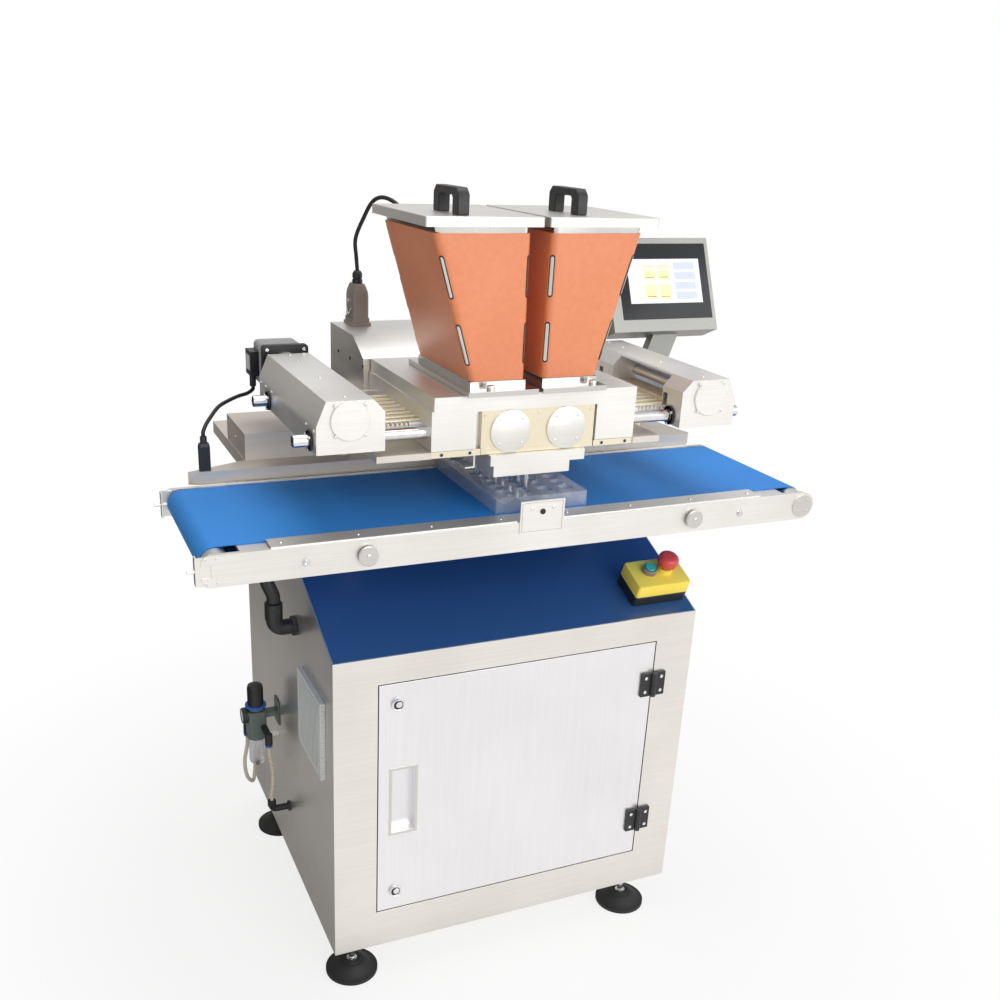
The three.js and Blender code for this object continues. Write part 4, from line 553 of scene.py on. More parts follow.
def shown(name, parts, material, solid=None, body="machine", bevel=0.0, angle=38, place=None):
    """Surfaces as one mesh: doubles merged, normals turned outwards, then dressed."""
    points, faces = together(*parts)
    if place:
        points = place(points)
    mesh = bpy.data.meshes.new(name)
    mesh.from_pydata(metres(points).tolist(), [], faces)
    shell = bmesh.new()
    shell.from_mesh(mesh)
    bmesh.ops.remove_doubles(shell, verts=shell.verts, dist=2e-6)
    bmesh.ops.recalc_face_normals(shell, faces=shell.faces)
    shell.to_mesh(mesh)
    shell.free()
    return dress(mesh, name, material, solid, body, bevel, angle)


def finished(solid, material, bevel=0.5, angle=35, front=-1.0):
    """A copy of a solid: its loose triangles merged, flat ones joined again, its edges rounded. Faces that
    reach before the front limit are left out, where a finer piece takes their place."""
    source = frame["nodes"][solid]
    mesh = bpy.data.meshes.new(solid + "_finished")
    mesh.from_pydata(
        [v.co[:] for v in source.data.vertices], [], [p.vertices[:] for p in source.data.polygons]
    )
    shell = bmesh.new()
    shell.from_mesh(mesh)
    bmesh.ops.remove_doubles(shell, verts=shell.verts, dist=2e-6)
    bmesh.ops.dissolve_limit(shell, angle_limit=math.radians(0.5), verts=shell.verts, edges=shell.edges)
    ahead = [face for face in shell.faces if min(v.co.y for v in face.verts) < front]
    bmesh.ops.delete(shell, geom=ahead, context="FACES")
    shell.to_mesh(mesh)
    shell.free()
    return dress(mesh, solid + "_finished", material, solid, None, bevel, angle)


def screw(centre, axis="y", way=-1, radius=3.0, height=2.0):
    """A cap screw's head: a short drum with a rounded rim and a sunk socket, out along an axis."""
    r, h = radius, height * way
    socket = [(0, 0.4 * h), (0.45 * r, 0.4 * h), (0.5 * r, h)]
    return turned(socket + [(0.86 * r, h), (r, 0.8 * h), (r, 0), (0, 0)], centre, axis, 16)


def around(centre, radius, angles, axis="y"):
    """Points on a circle across an axis: the centre plus the radius times cosine and sine of each angle."""
    u, v, _ = (np.array(d, float) for d in ACROSS[axis])
    return [np.array(centre) + radius * (math.cos(a) * u + math.sin(a) * v) for a in angles]


def outlined(at, radius, length, axis, way=1, rim=0.8, sides=40):
    """A plain drum with a rounded rim, from a centre along an axis."""
    b, end = min(rim, radius / 2), way * length
    shoulder = [(radius, way * (length - b)), (radius - 0.3 * b, way * (length - 0.3 * b)), (radius - b, end)]
    profile = [(0, 0), (radius, 0), *shoulder, (0, end)]
    return turned(profile, at, axis, sides)


# %% [markdown]
# The sheet metal and the castings already have the right shape as solids. They get their edges
# rounded by half a millimetre, because a real edge always catches some light. The front rail and the
# beams lose what stands before their face, since finer knobs and covers take its place.

# %% Places that several pieces share, in millimetres of the drawing
RAIL_KNOBS, BEAM_COVERS = -4.2, 32.5
WALL, CABINET_FRONT = -356, 51
DRUM_X, IDLER_X, BELT_AXIS = 542.5, -545, 891.7
SHAFT_ROWS, SHAFT_LEVEL = (67, 338), 1066
BEAM_X, BEAM_AXIS = 329, 1102
VALVE_AXES, VALVE_LEVEL = (-50, 53), 1064
EIGHT = np.arange(8)
CORNERS = [(a, b) for a in (-1, 1) for b in (-1, 1)]
NOZZLE_ROWS = 194.5 + 31 * (EIGHT - 3.5)

# %% Solids that only need an edge and a finish
for name, material, bevel, angle in (
    ("cabinet_shell", steel, 0.9, 35),
    ("cabinet_door", door_steel, 0.9, 35),
    ("top_panel", panel_blue, 0.6, 35),
    ("conveyor_frame", alloy, 0.5, 30),
    ("machine_bed", bed_steel, 0.7, 30),
    ("head_block", alloy, 0.5, 30),
    ("nozzle_block", alloy, 0.6, 50),
    ("valve_housing", steel, 0.8, 35),
    ("left_hopper", mirror_steel, 0.4, 35),
    ("right_hopper", mirror_steel, 0.4, 35),
    ("hmi_case", case_grey, 0.4, 30),
    ("upper_hinge_frame_leaf", black, 0.5, 50),
    ("upper_hinge_door_leaf", black, 0.5, 50),
    ("lower_hinge_frame_leaf", black, 0.5, 50),
    ("lower_hinge_door_leaf", black, 0.5, 50),
    ("upper_lock", chrome, 0.4, 30),
    ("lower_lock", chrome, 0.4, 30),
):
    finished(name, material, bevel, angle)
finished("front_rail", alloy, 0.5, 30, metres([0, RAIL_KNOBS, 0])[1])
finished("left_beam", alloy, 0.8, 30, metres([0, BEAM_COVERS, 0])[1])
finished("right_beam", alloy, 0.8, 30, metres([0, BEAM_COVERS, 0])[1])
for name in ("left_valve_rotor", "right_valve_rotor", "left_pinion", "right_pinion"):
    inner = frame["nodes"][name].data
    inner.materials.clear()
    inner.materials.append(steel)
print("solids dressed")

# %% [markdown]
# Hoses and cables first, because their lengths are checked. Each is a circle carried along the same
# points as its solid. The motor's cable hangs between the sliding beam and the fixed plug, and is left
# on no body, where it was drawn.

# %% Hoses and cables
ROUTES = {
    "outlet_hose": [
        (-390, 405, 324.7), (-389.6, 404, 305), (-387, 393, 275), (-390, 382, 245), (-393.5, 380.5, 225),
        (-393.5, 380.5, 210.3)
    ],
    "supply_hose": [
        (-417, 488, 310.7), (-418, 488, 290), (-425, 489, 245), (-419, 494, 203), (-405, 507, 184),
        (-397, 521, 204), (-394, 527, 245), (-386, 527, 271), (-379, 527, 278), (-371.8, 527, 278)
    ],
    "conduit": [
        (-397, 294, 698.3), (-397, 294, 710), (-406, 299, 735), (-413, 312, 765), (-412, 337, 810),
        (-404, 366, 853), (-395, 380, 893), (-395, 380, 911.7)
    ],
    "heater_cable": [
        (-154, 548, 1260.3), (-156, 548, 1285), (-160, 541, 1318), (-150, 520, 1360), (-142, 490, 1391),
        (-133, 455, 1400), (-118, 415, 1388), (-104, 380, 1350), (-97, 352, 1305), (-95, 331, 1280),
        (-95, 318, 1272.3), (-95, 306.3, 1272)
    ],
    "motor_cable": [
        (-377, 492, 1057.7), (-377, 492, 1053), (-389, 484, 1047), (-408, 470, 1046), (-432, 450, 1043),
        (-455, 428, 1038), (-476, 400, 1026), (-491, 373, 1017), (-497, 361, 1009), (-497, 361, 1003.3)
    ],
}
plug = shown(
    "motor_plug_body",
    [
        pushed(rounded((-507, -487), (354, 368), 3), "z", (941.3, 985)),
        stepped((-507, -487), (354, 368), 3, ((0, 985), (1.5, 991), (2.2, 991))),
        outlined((-497, 361, 990.7), 6, 12.3, "z")
    ],
    black, "motor_plug"
)
for name, material, radius, far_end, stiffness, going_with in (
    ("outlet_hose", hose, 4.0, "object", "medium", ()),
    ("supply_hose", hose, 4.0, "object", "medium", ()),
    ("conduit", black, 13.0, "object", "stiff", ()),
    ("heater_cable", rubber, 3.75, "object", "medium", ()),
    ("motor_cable", rubber, 3.5, "connector", "medium", (plug,)),
):
    route = smooth_path(ROUTES[name])
    lead = shown(name + "_lead", [carried(route, radius)], material, name)
    if name == "motor_cable":
        lead.parent = None
        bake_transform(lead)


# %% [markdown]
# Feet, locks and hinges are bought parts. A levelling foot is a rubber pad that swells towards its
# stem, and a quarter-turn lock shows a chrome ring around a dark well with a cap in it. All of them
# are profiles spun about an axis.

# %% Feet
for name, (x, y) in {
    "front_left_foot": (-316, 73),
    "front_right_foot": (283, 73),
    "rear_left_foot": (-330, 585),
    "rear_right_foot": (297, 585),
}.items():
    height = np.linspace(0, 1, 14)
    dome = np.stack([50 - 32 * height**0.75, 8 + 16 * np.sin(height * math.pi / 2) ** 1.6], -1)
    pad = [(48, 0), (50, 1.5), (50, 6.5), *dome.tolist(), (17, 25.5)]
    shown(name + "_pad", [spun(pad, (x, y, 0), "z", 64)], rubber, name)
    stem = [(10, 25), (10, 28), (6, 29), (6, 48)]
    nut = spun([(11.4, 48.6), (12.6, 49.8), (12.6, 58.4), (11.4, 59.6)], (x, y, 0), "z", 6)
    top = spun([(6, 59.5), (6, 82), (5, 83.5)], (x, y, 0), "z", 24)
    shown(name + "_stem", [spun(stem, (x, y, 0), "z", 28), nut, top], chrome, name)

# %% Locks, hinge screws and the rim of the door pull
for name, z in (("upper_lock", 582.4), ("lower_lock", 181.4)):
    section = [
        (8.6, 0.4), (8.8, -1.4), (10, -2.1), (12, -1.7), (12.9, 0), (12.4, 2.6), (8.6, 2.6), (8.6, 0.4)
    ]
    ring = turned(section, (-237.4, 47.7, z), "y", 48)
    well = spun([(4.2, -0.2), (4.6, 0.5), (8.7, 0.6), (8.7, 1.5)], (-237.4, 46.9, z), "y", 32)
    shown(name + "_rim", [ring], chrome, body=name)
    shown(name + "_well", [well], black, body=name)
    cap = spun([(5.2, -2.2), (6, -1.4), (6, 0.4)], (-236.2, 46.9, z + 0.8), "y", 32)
    shown(name + "_cap", [cap], chrome, body=name)
HINGE_SCREWS = [z + dz for z in (534.4, 221.4) for dz in (-15, 15)]
for leaf, x, body in (("frame", 306, "machine"), ("door", 272, "cabinet_door")):
    shown(
        "hinge_screws_on_" + leaf, [screw((x, 45.8, z), "y", -1, 3.4, 1.2) for z in HINGE_SCREWS], chrome,
        body=body
    )


def rim(x, z, wide, thick, y):
    """A flat frame around an opening: four square loops, inner and outer, back and front, closed round
    both ways."""
    loops = []
    for grow, at in ((0, y), (wide, y), (wide, y - thick), (0, y - thick)):
        left, right, low, high = x[0] - grow, x[1] + grow, z[0] - grow, z[1] + grow
        loops.append([(left, at, low), (right, at, low), (right, at, high), (left, at, high)])
    return skin(loops, True, True)


shown(
    "door_pull_rim", [rim((-246, -201), (313, 447), 5, 1.2, CABINET_FRONT)], mirror_steel,
    body="cabinet_door", bevel=0.4
)
print("door furniture made")

# %% [markdown]
# On the left wall sit a vent filter with ribbed edges, an air regulator with its clear bowl and blue
# ring, and two right-angle fittings. The fittings are tubes whose path turns a quarter circle.

# %% Vent filter
TEETH, FILTER_LOW, FILTER_HIGH = 60, 424, 580
teeth = np.arange(TEETH + 1)
edge = FILTER_LOW + teeth * (FILTER_HIGH - FILTER_LOW) / TEETH
ripple = np.where(teeth % 2 == 0, 0.0, 2.2)
front_edge = np.stack([97 + ripple, edge], -1)
back_edge = np.stack([252 - ripple, edge], -1)[::-1]
grille = [plate((-367.4, -366.2), (106 + 8.6 * i, 110.4 + 8.6 * i), (432, 572)) for i in range(16)]
shown(
    "vent_filter_cover", [pushed(np.concatenate([front_edge, back_edge]), "x", (-366, -355.9)), *grille],
    pale_grey, "vent_filter", bevel=0.4
)

# %% Air regulator
REGULATOR = (-402, 465)
bowl = [(5, 250), (8, 251.5), (15.5, 259), (17, 264), (17, 314), (18.6, 316), (18.6, 322)]
shown("regulator_bowl", [spun(bowl, (*REGULATOR, 0), "z", 40)], clear, "regulator_body")
drain = [(0, 240), (3.4, 240), (3.6, 250.5), (6, 251), (0, 251.5)]
shown("regulator_drain", [turned(drain, (*REGULATOR, 10), "z", 24)], black, "regulator_body")
block_outline = rounded((-421, -383), (445, 485), 7)
shown(
    "regulator_block",
    [
        pushed(block_outline, "z", (322, 384)),
        turned([(19.8, 318), (20.6, 319), (20.6, 325), (0, 325), (0, 318)], (*REGULATOR, 0), "z", 40),
        spun([(17, 384), (15, 389.8)], (*REGULATOR, 0), "z", 40),
        plate((-402, -355.9), (453, 477), (366, 376)), plate((-358.8, -355.9), (447, 483), (345, 400))
    ],
    body_grey, "regulator_body", bevel=0.8
)
gauge = [(17, -18), (17, -27), (15.6, -30), (14.2, -30), (14.2, -28.4)]
shown("gauge_case", [spun(gauge, (*REGULATOR, 372), "x", 40)], black, "regulator_body")
dial = [(14, -28.9), (14, -28.2)]
shown("gauge_dial", [spun(dial, (*REGULATOR, 372), "x", 40)], pale_grey, "regulator_body")
knob = [(16.5, 396), (16.5, 397), (16, 398), (16, 436), (15, 440), (12, 441)]
rib, cells = plate((-0.9, 0.9), (15.4, 16.6), (399, 434))
ribs = []
for t in np.linspace(0, 2 * math.pi, 24, endpoint=False):
    spin = np.array([[math.cos(t), math.sin(t), 0], [-math.sin(t), math.cos(t), 0], [0, 0, 1]])
    ribs.append((rib @ spin + np.array([*REGULATOR, 0]), cells))
shown("regulator_cap", [spun(knob, (*REGULATOR, 0), "z", 48), *ribs], black, "regulator_knob")
lock_ring = [(21, 390.3), (22, 391.2), (22, 395.6), (21, 396.5)]
shown("regulator_ring", [spun(lock_ring, (*REGULATOR, 0), "z", 48)], blue_ring, "regulator_knob")
for name, x, y, port, bottom in (("outlet", -390, 405, 348, 325), ("inlet", -417, 488, 332, 311)):
    near, far = (y, 446) if y < REGULATOR[1] else (484, y)
    across = spun([(7, near), (7, far)], (x, 0, port), "y", 28)
    socket = [(0, bottom + 5), (8, bottom + 5), (8, port + 5), (6, port + 7), (0, port + 7)]
    down = turned(socket, (x, y, 0), "z", 28)
    shown(name + "_fitting", [across, down], black, "regulator_body")
    sleeve = [(4.1, bottom), (7.4, bottom), (7.6, bottom + 5.2), (4.1, bottom + 5.2), (4.1, bottom)]
    shown(name + "_collar", [turned(sleeve, (x, y, 0), "z", 28)], blue_ring, "regulator_body")


# %% Right-angle fittings through the left wall
def elbow_path(x, y, corner, top, bend):
    """A straight run from the wall, a quarter circle of the bend's radius, and a straight run upwards."""
    turn = np.linspace(0, math.pi / 2, 10)
    across, up = x + bend - bend * np.sin(turn), corner + bend - bend * np.cos(turn)
    arc = np.stack([across, np.full(len(turn), float(y)), up], -1)
    return np.concatenate([[(WALL, y, corner)], arc, [(x, y, top)]])


for name, x, y, corner, top, radius, bend, sleeve in (
    ("hose_elbow", -393.5, 380.5, 188, 209.8, 7, 9, 196),
    ("conduit_elbow", -397, 294, 645, 697.6, 15, 17, 664),
):
    nut, depth, out = radius + 4, -radius * 0.55, -radius * 0.62
    hexagon = [(nut, -0.5), (nut, depth), (nut - 1, out)]
    foot, head = (radius + 1.2, sleeve), (radius + 1, top)
    cuff = [(0, sleeve), foot, (radius + 1.8, sleeve + 1.5), (radius + 1.8, top - 1), head, (0, top)]
    stub = [(radius - 2, 0), (radius - 2, 12)]
    parts = [
        carried(elbow_path(x, y, corner, top - 2, bend), radius, 28),
        spun(hexagon, (-355.6, y, corner), "x", 6),
        turned(cuff, (x, y, 0), "z", 28),
        spun(stub, (WALL, y, corner), "x", 24),
    ]
    shown(name + "_body", parts, black, name)
print("wall fittings made")

# %% [markdown]
# The start and stop buttons stand on a two-part box: a black base and a yellow cover. They are drawn
# flat and then leaned back with the slope.

# %% Button box
for part, steps, material in (
    ("base", ((1, 0.4), (0, 1.4), (0, 21), (1, 22)), black),
    ("cover", ((0.8, 22.3), (0.2, 23), (0.5, 47), (1.4, 49.4), (3, 50)), yellow),
):
    walls = stepped((246, 361), (32, 104), 5, steps)
    shown("button_box_" + part, [walls], material, "control_box", place=on_slope)
START, STOP = (286, 72, 0), (320, 72, 0)
bezel = [(10.9, 45), (14.6, 45), (14.6, 58), (13.6, 60.6), (12.2, 61), (10.9, 60), (10.9, 45)]
collar = [(8.5, 45), (16, 45), (16, 50.8), (14.8, 55), (13.6, 58), (8.5, 58), (8.5, 45)]
flat_cap = [(0, 48.6), (10.4, 48.6), (10.4, 62.4), (9.6, 63.3), (0, 63.5)]
stem = [(0, 44.2), (7.8, 44.2), (7.8, 64)]
mushroom = [*stem, (15, 64), (18.6, 66.4), (20, 70), (20, 78), (19, 82.4), (15.6, 85.6), (10, 87), (0, 87)]
for name, profile, at, sides, material, solid in (
    ("start_bezel", bezel, START, 40, hood_grey, "control_box"),
    ("stop_collar", collar, STOP, 40, yellow, "control_box"),
    ("start_cap", flat_cap, START, 40, teal, "start_button"),
    ("stop_cap", mushroom, STOP, 48, red, "stop_button"),
):
    shown(name, [turned(profile, at, "z", sides)], material, solid, place=on_slope)
print("button box made")

# %% [markdown]
# The belt is a closed band around two rollers. Its section is a thin rectangle that is carried round
# a loop of two straight runs and two half circles.

# %% Belt and rollers
BELT_SIDES = (42, 333)
BELT_RADII = (25.3, 23.3)


def belt_loop(radius, y):
    """Two half circles of a radius about the roller axes, joined by straight runs."""
    turn = np.linspace(-math.pi / 2, math.pi / 2, 33)
    across, up, along = radius * np.cos(turn), radius * np.sin(turn), np.full(len(turn), y)
    right = np.stack([DRUM_X + across, along, BELT_AXIS + up], -1)
    left = np.stack([IDLER_X - across, along, BELT_AXIS - up], -1)
    return np.concatenate([right, left])


(near, far), (outer, inner) = BELT_SIDES, BELT_RADII
band = np.stack([belt_loop(r, y) for r, y in ((outer, near), (outer, far), (inner, far), (inner, near))])
shown("belt_band", [skin(band, True, True)], belt_blue, "conveyor_belt", bevel=0.3)
for name, x in (("drive_drum", DRUM_X), ("idler_roller", IDLER_X)):
    near_end = [(0, 4), (7.2, 4), (8, 5), (8, 12.3), (22.4, 12.3), (23, 13)]
    far_end = [(23, 332), (22.4, 332.7), (8, 332.7), (8, 340), (7.2, 341), (0, 341)]
    shown(name + "_body", [turned(near_end + far_end, (x, 0, BELT_AXIS), "y", 56)], steel, name)

# %% Bolts and knobs of the conveyor
STAND_BOLTS = ((-411.5, 890.6), (402.4, 891.4))
STRIP_SCREWS = np.linspace(-445, 430, 8)
washer = [(5.2, -0.1), (7.4, -0.1), (7.2, -0.5), (5.4, -0.5), (5.2, -0.1)]
heads = [screw((x, 0, z), "y", -1, 4.5, 4.0) for x, z in STAND_BOLTS]
heads += [screw((x, 0, z), "y", -1, 2.6, 1.6) for x in (-566, -548) for z in (872, 912)]
heads += [screw((x, 345, z), "y", 1, 4.5, 4.0) for x, z in STAND_BOLTS]
heads += [screw((x, 22, 920), "z", 1, 3.0, 1.4) for x in STRIP_SCREWS]
heads += [screw((x, 338.5, 920), "z", 1, 2.4, 1.4) for x in STRIP_SCREWS]
heads += [turned(washer, (x, 0, z), "y", 32) for x, z in STAND_BOLTS]
shown("conveyor_screws", heads, chrome)
knob = [(15.4, -4.1), (16, -4.8), (16, -10.2), (15.2, -11)]
pin = [(4.2, -10.9), (4.2, -11.7), (3.8, -12)]
drums = []
for x in (-311.6, 299.6):
    drums += [spun(knob, (x, 0, BELT_AXIS), "y", 40), spun(pin, (x, 0, BELT_AXIS), "y", 28)]
CAP_X, CAP_Z, CAP_SCREWS = 543.5, 892, 14
drums.append(spun([(21.6, 0), (21.6, -2), (20.8, -2.8)], (CAP_X, 0, CAP_Z), "y", 48))
ends = around((CAP_X, -2.8, CAP_Z), CAP_SCREWS, (0.8, 2.4, 3.9, 5.5))
drums += [screw(at, "y", -1, 2.2, 1.0) for at in ends]
shown("conveyor_knobs", drums, mirror_steel)
shown("stop_plate_face", [rim((-41, 32.5), (902, 951), 1.5, 0.4, -2)], mirror_steel, bevel=0.2)
shown("stop_plate_screws", [screw((x, -2, 941), "y", -1, 3.2, 1.6) for x in (-24, 16)], chrome)
shown(
    "mould_sensor",
    [outlined((-4, 22, 935), 5, 26, "y", -1, 1.2, 28), outlined((-4, 24, 935), 7.5, 5, "y", -1, 0.6, 6)],
    rubber
)
print("conveyor made")

# %% [markdown]
# The mould is one clear plastic shell with thirty-two dished cavities. Its top is a height over a grid:
# flat, but lowered inside each cavity by a dome with a soft swirl in it. The underside is the same
# height two millimetres lower, and near the rim it reaches down to the belt.

# %% Mould
MOULD_X, MOULD_Y, MOULD_TOP, MOULD_FOOT = (-63.5, 111.5), (57, 332), 943.8, 917.3
CAVITY_COLUMNS, CAVITY_RADIUS, CAVITY_DEPTH = 24 + 40 * (np.arange(4) - 1.5), 12.5, 17
SHEET, RIM_WIDTH = 2.2, 2.3


def border(grid):
    """The four edges of a grid as one closed loop of points."""
    return np.concatenate([grid[:-1, 0], grid[-1, :-1], grid[:0:-1, -1], grid[0, :0:-1]])


gx, gy = np.meshgrid(np.linspace(*MOULD_X, 141), np.linspace(*MOULD_Y, 221), indexing="ij")
top = np.full(gx.shape, MOULD_TOP)
for cx in CAVITY_COLUMNS:
    for cy in NOZZLE_ROWS:
        r = np.hypot(gx - cx, gy - cy) / CAVITY_RADIUS
        swirl = 0.9 * np.sin(3 * np.arctan2(gy - cy, gx - cx) + 7 * r) * r * (1 - r)
        dome = np.sqrt(np.clip(1 - r**2, 0, 1)) ** 0.8
        top = np.where(r < 1, MOULD_TOP - CAVITY_DEPTH * dome + 2 * swirl, top)
edge_gap = np.minimum.reduce([gx - MOULD_X[0], MOULD_X[1] - gx, gy - MOULD_Y[0], MOULD_Y[1] - gy])
under = np.where(edge_gap < RIM_WIDTH, MOULD_FOOT, top - SHEET)
upper, lower = np.stack([gx, gy, top], -1), np.stack([gx, gy, under], -1)
wall = skin([border(upper), border(lower)], False, True)
shown("mould_shell", [skin(upper), skin(lower), wall], clear, "chocolate_mould", angle=50)

# %% [markdown]
# The head carries a champagne plate with two round steel covers, and below it eight bright nozzles.
# Small cap screws hold every cover, which is what makes such a machine look engineered.

# %% Front plate and nozzles
holes = [(-95, 1092), (100, 1092), (-95, 1036), (100, 1036), (2, 1092), (2, 1036)]
STRIP_WELLS, STRIP_LEVEL = (-172, -122, 124, 170), 1032.3
COVER_FACE, COVER_SCREWS = 42.2, 29
shown(
    "front_plate_body",
    [
        pushed([(-102, 1030), (107, 1030), (107, 1100), (-102, 1100)], "y", (46, 56)),
        *[screw((x, 46, z), "y", -1, 3, 1.2) for x, z in holes]
    ],
    champagne, "front_plate", bevel=0.5
)
shown(
    "front_foot_strips",
    [
        plate((-190, -103), (44, 56), (1027, 1037.7)), plate((108, 185), (44, 56), (1027, 1037.7)),
        plate((-102, 107), (45, 55), (1027, 1037.7))
    ],
    champagne, "front_plate", bevel=0.4
)
cover = [(34.4, COVER_FACE), (36, 43.2), (36, 46.2)]
covers = [spun(cover, (x, 0, VALVE_LEVEL), "y", 72) for x in VALVE_AXES]
shown("valve_covers", covers, alloy, "front_plate")
tiny = []
for x in VALVE_AXES:
    ends = around((x, COVER_FACE, VALVE_LEVEL), COVER_SCREWS, (0.79, 2.36, 3.93, 5.5))
    tiny += [screw(at, "y", -1, 2.2, 1.0) for at in ends]
collar = [(2.6, 44), (4.4, 44), (4.2, 43.3), (2.8, 43.3), (2.6, 44)]
tiny += [turned(collar, (x, 0, STRIP_LEVEL), "y", 24) for x in STRIP_WELLS]
# Each black disc inside a chrome collar is painted shade inside the screw hole.
well = [(2.7, 43.8), (2.7, 44.2)]
shown("strip_screw_hole_shade", [spun(well, (x, 0, STRIP_LEVEL), "y", 20) for x in STRIP_WELLS], black)
shown("head_screws", tiny, chrome)
tip = [(2.4, 945.6), (3.2, 946.6), (4.3, 954), (4.3, 985), (6.2, 985.6), (6.2, 990.2)]
tips = [spun(tip, (4, y, 0), "z", 28) for y in NOZZLE_ROWS]
shown("nozzle_tips", tips, chrome)

# %% [markdown]
# Each side of the head has a beam that slides on two chrome shafts and pushes eight cream rods. The
# shafts and rods are spun profiles, so that they stay round up close.

# %% Shafts, rods and beam fittings
ROD_ROWS, ROD_LEVEL, ROD_RADIUS = 100 + 24 * EIGHT, 1078, 4
FLANGE_SCREWS, COVER_CORNER, BEAM_FACE = 13.8, 24, 29


def bush_flange(side, at, way):
    """The profile of a shaft's bush where it comes out of the beam, along x on one side."""
    foot, edge, face = side * at, side * (at + 3 * way), side * (at + 4 * way)
    return [(10.6, foot), (17, foot), (17, edge), (16, face), (10.6, face), (10.6, foot)]


for side, name, block in ((-1, "left", 190), (1, "right", 185)):
    beam = name + "_beam"
    root, end, socket = side * (block - 39.7), side * 412, side * 408
    shaft = [(10, root), (10, side * 411), (9, end), (3.4, end), (3.4, socket)]
    for place, y in zip(("front", "rear"), SHAFT_ROWS):
        node_name = f"{name}_{place}_guide_shaft"
        shown(node_name + "_round", [spun(shaft, (0, y, SHAFT_LEVEL), "x", 40)], chrome, node_name)
    rod = [(ROD_RADIUS, side * 135), (ROD_RADIUS, side * 294)]
    rods = [spun(rod, (0, y, ROD_LEVEL), "x", 24) for y in ROD_ROWS]
    bar = plate(sorted((side * 290, side * 330)), (96.3, 274.7), (1068, 1084))
    shown(name + "_rods", [*rods, bar], cream, name + "_piston_set", bevel=0.4)
    flanges, bolts = [], []
    for y in SHAFT_ROWS:
        for at, way in ((383, 1), (272, -1)):
            flanges.append(turned(bush_flange(side, at, way), (0, y, SHAFT_LEVEL), "x", 40))
            ends = around((side * (at + 4 * way), y, SHAFT_LEVEL), FLANGE_SCREWS, (0.5, 2.6, 4.7), "x")
            bolts += [screw(end, "x", side * way, 2.8, 2.4) for end in ends]
    for y in (45, 90, 316, 360, 395):
        bolts.append(screw((side * 383, y, 1086), "x", side, 3.2, 2.2))
    for y in (60, 200, 340, 395):
        bolts.append(screw((side * BEAM_X, y, 1133), "z", 1, 3.0, 1.2))
    shown(name + "_beam_flanges", flanges, black, body=beam)
    shown(name + "_beam_screws", bolts, chrome, body=beam)
    tiny = []
    for sx, sz in CORNERS:
        corner = (side * BEAM_X + COVER_CORNER * sx, BEAM_FACE, BEAM_AXIS + COVER_CORNER * sz)
        tiny.append(screw(corner, "y", -1, 2.6, 0.6))
    shown(name + "_cover_screws", tiny, chrome, body=beam)
    cover = [(0, BEAM_FACE), (31, BEAM_FACE), (32, 30), (32, 33.2), (0, 33.2)]
    shown(name + "_beam_cover", [turned(cover, (side * BEAM_X, 0, BEAM_AXIS), "y", 64)], alloy, body=beam)

# %% [markdown]
# The gear motors are grey castings behind a black square flange and a round neck. Their cooling ribs
# are one square loop that grows and shrinks as it goes along the motor.

# %% Gear motors
RIB_COUNT, RIB_START, RIB_HEIGHT = 9, 446, 2.4


def motor_ring(x, half, grow, y):
    """A rounded square about the motor's axis, grown on all sides, at a place along y."""
    corner, reach = half * 0.22, half + grow
    ring = rounded((x - reach, x + reach), (BEAM_AXIS - reach, BEAM_AXIS + reach), corner)
    return np.c_[ring[:, 0], np.full(len(ring), y), ring[:, 1]]


for side, name, half, back, flange, neck in ((-1, "left", 40, 520, 43, 30), (1, "right", 20, 500, 21, 15)):
    x, z, motor = side * BEAM_X, BEAM_AXIS, name + "_motor"
    steps = [(-0.5, 440)]
    for i in range(RIB_COUNT):
        y = RIB_START + i * (back - 460) / RIB_COUNT
        steps += [(-0.5, y), (-RIB_HEIGHT, y + 1.2), (-RIB_HEIGHT, y + 3.4), (-0.5, y + 4.6)]
    steps += [(-0.5, back - 6), (-3.5, back)]
    rings = [motor_ring(x, half, grow, y) for grow, y in steps]
    shown(motor + "_case", [lidded(rings)], motor_grey, motor)
    tube = [(neck, 408.3), (neck, 428.3)]
    shown(motor + "_neck", [spun(tube, (x, 0, z), "y", 48)], alloy, motor)
    front = rounded((x - flange, x + flange), (z - flange, z + flange), flange * 0.16)
    shown(motor + "_flange", [pushed(front, "y", (428, 440.2))], black, motor, bevel=0.5)
    reach, size = flange * 0.8, flange * 0.08
    heads = [screw((x + sx * reach, 428, z + sz * reach), "y", -1, size, 3) for sx, sz in CORNERS]
    shown(motor + "_screws", heads, chrome, body=name + "_beam")
shown(
    "terminal_box",
    [plate((-385, -368.7), (472, 512), (1080, 1126)), outlined((-377, 492, 1080.3), 6, 22.3, "z", -1)], black,
    "left_motor", bevel=1.2
)
shown("motor_label", [plate((-385.3, -385), (477, 507), (1090, 1118))], pale_grey, body="left_beam")
print("drives made")

# %% [markdown]
# The valve drive sits under a folded cover with a heavy connector on its roof: a cast base, a deep
# hood with a locking lever, and a cable gland.

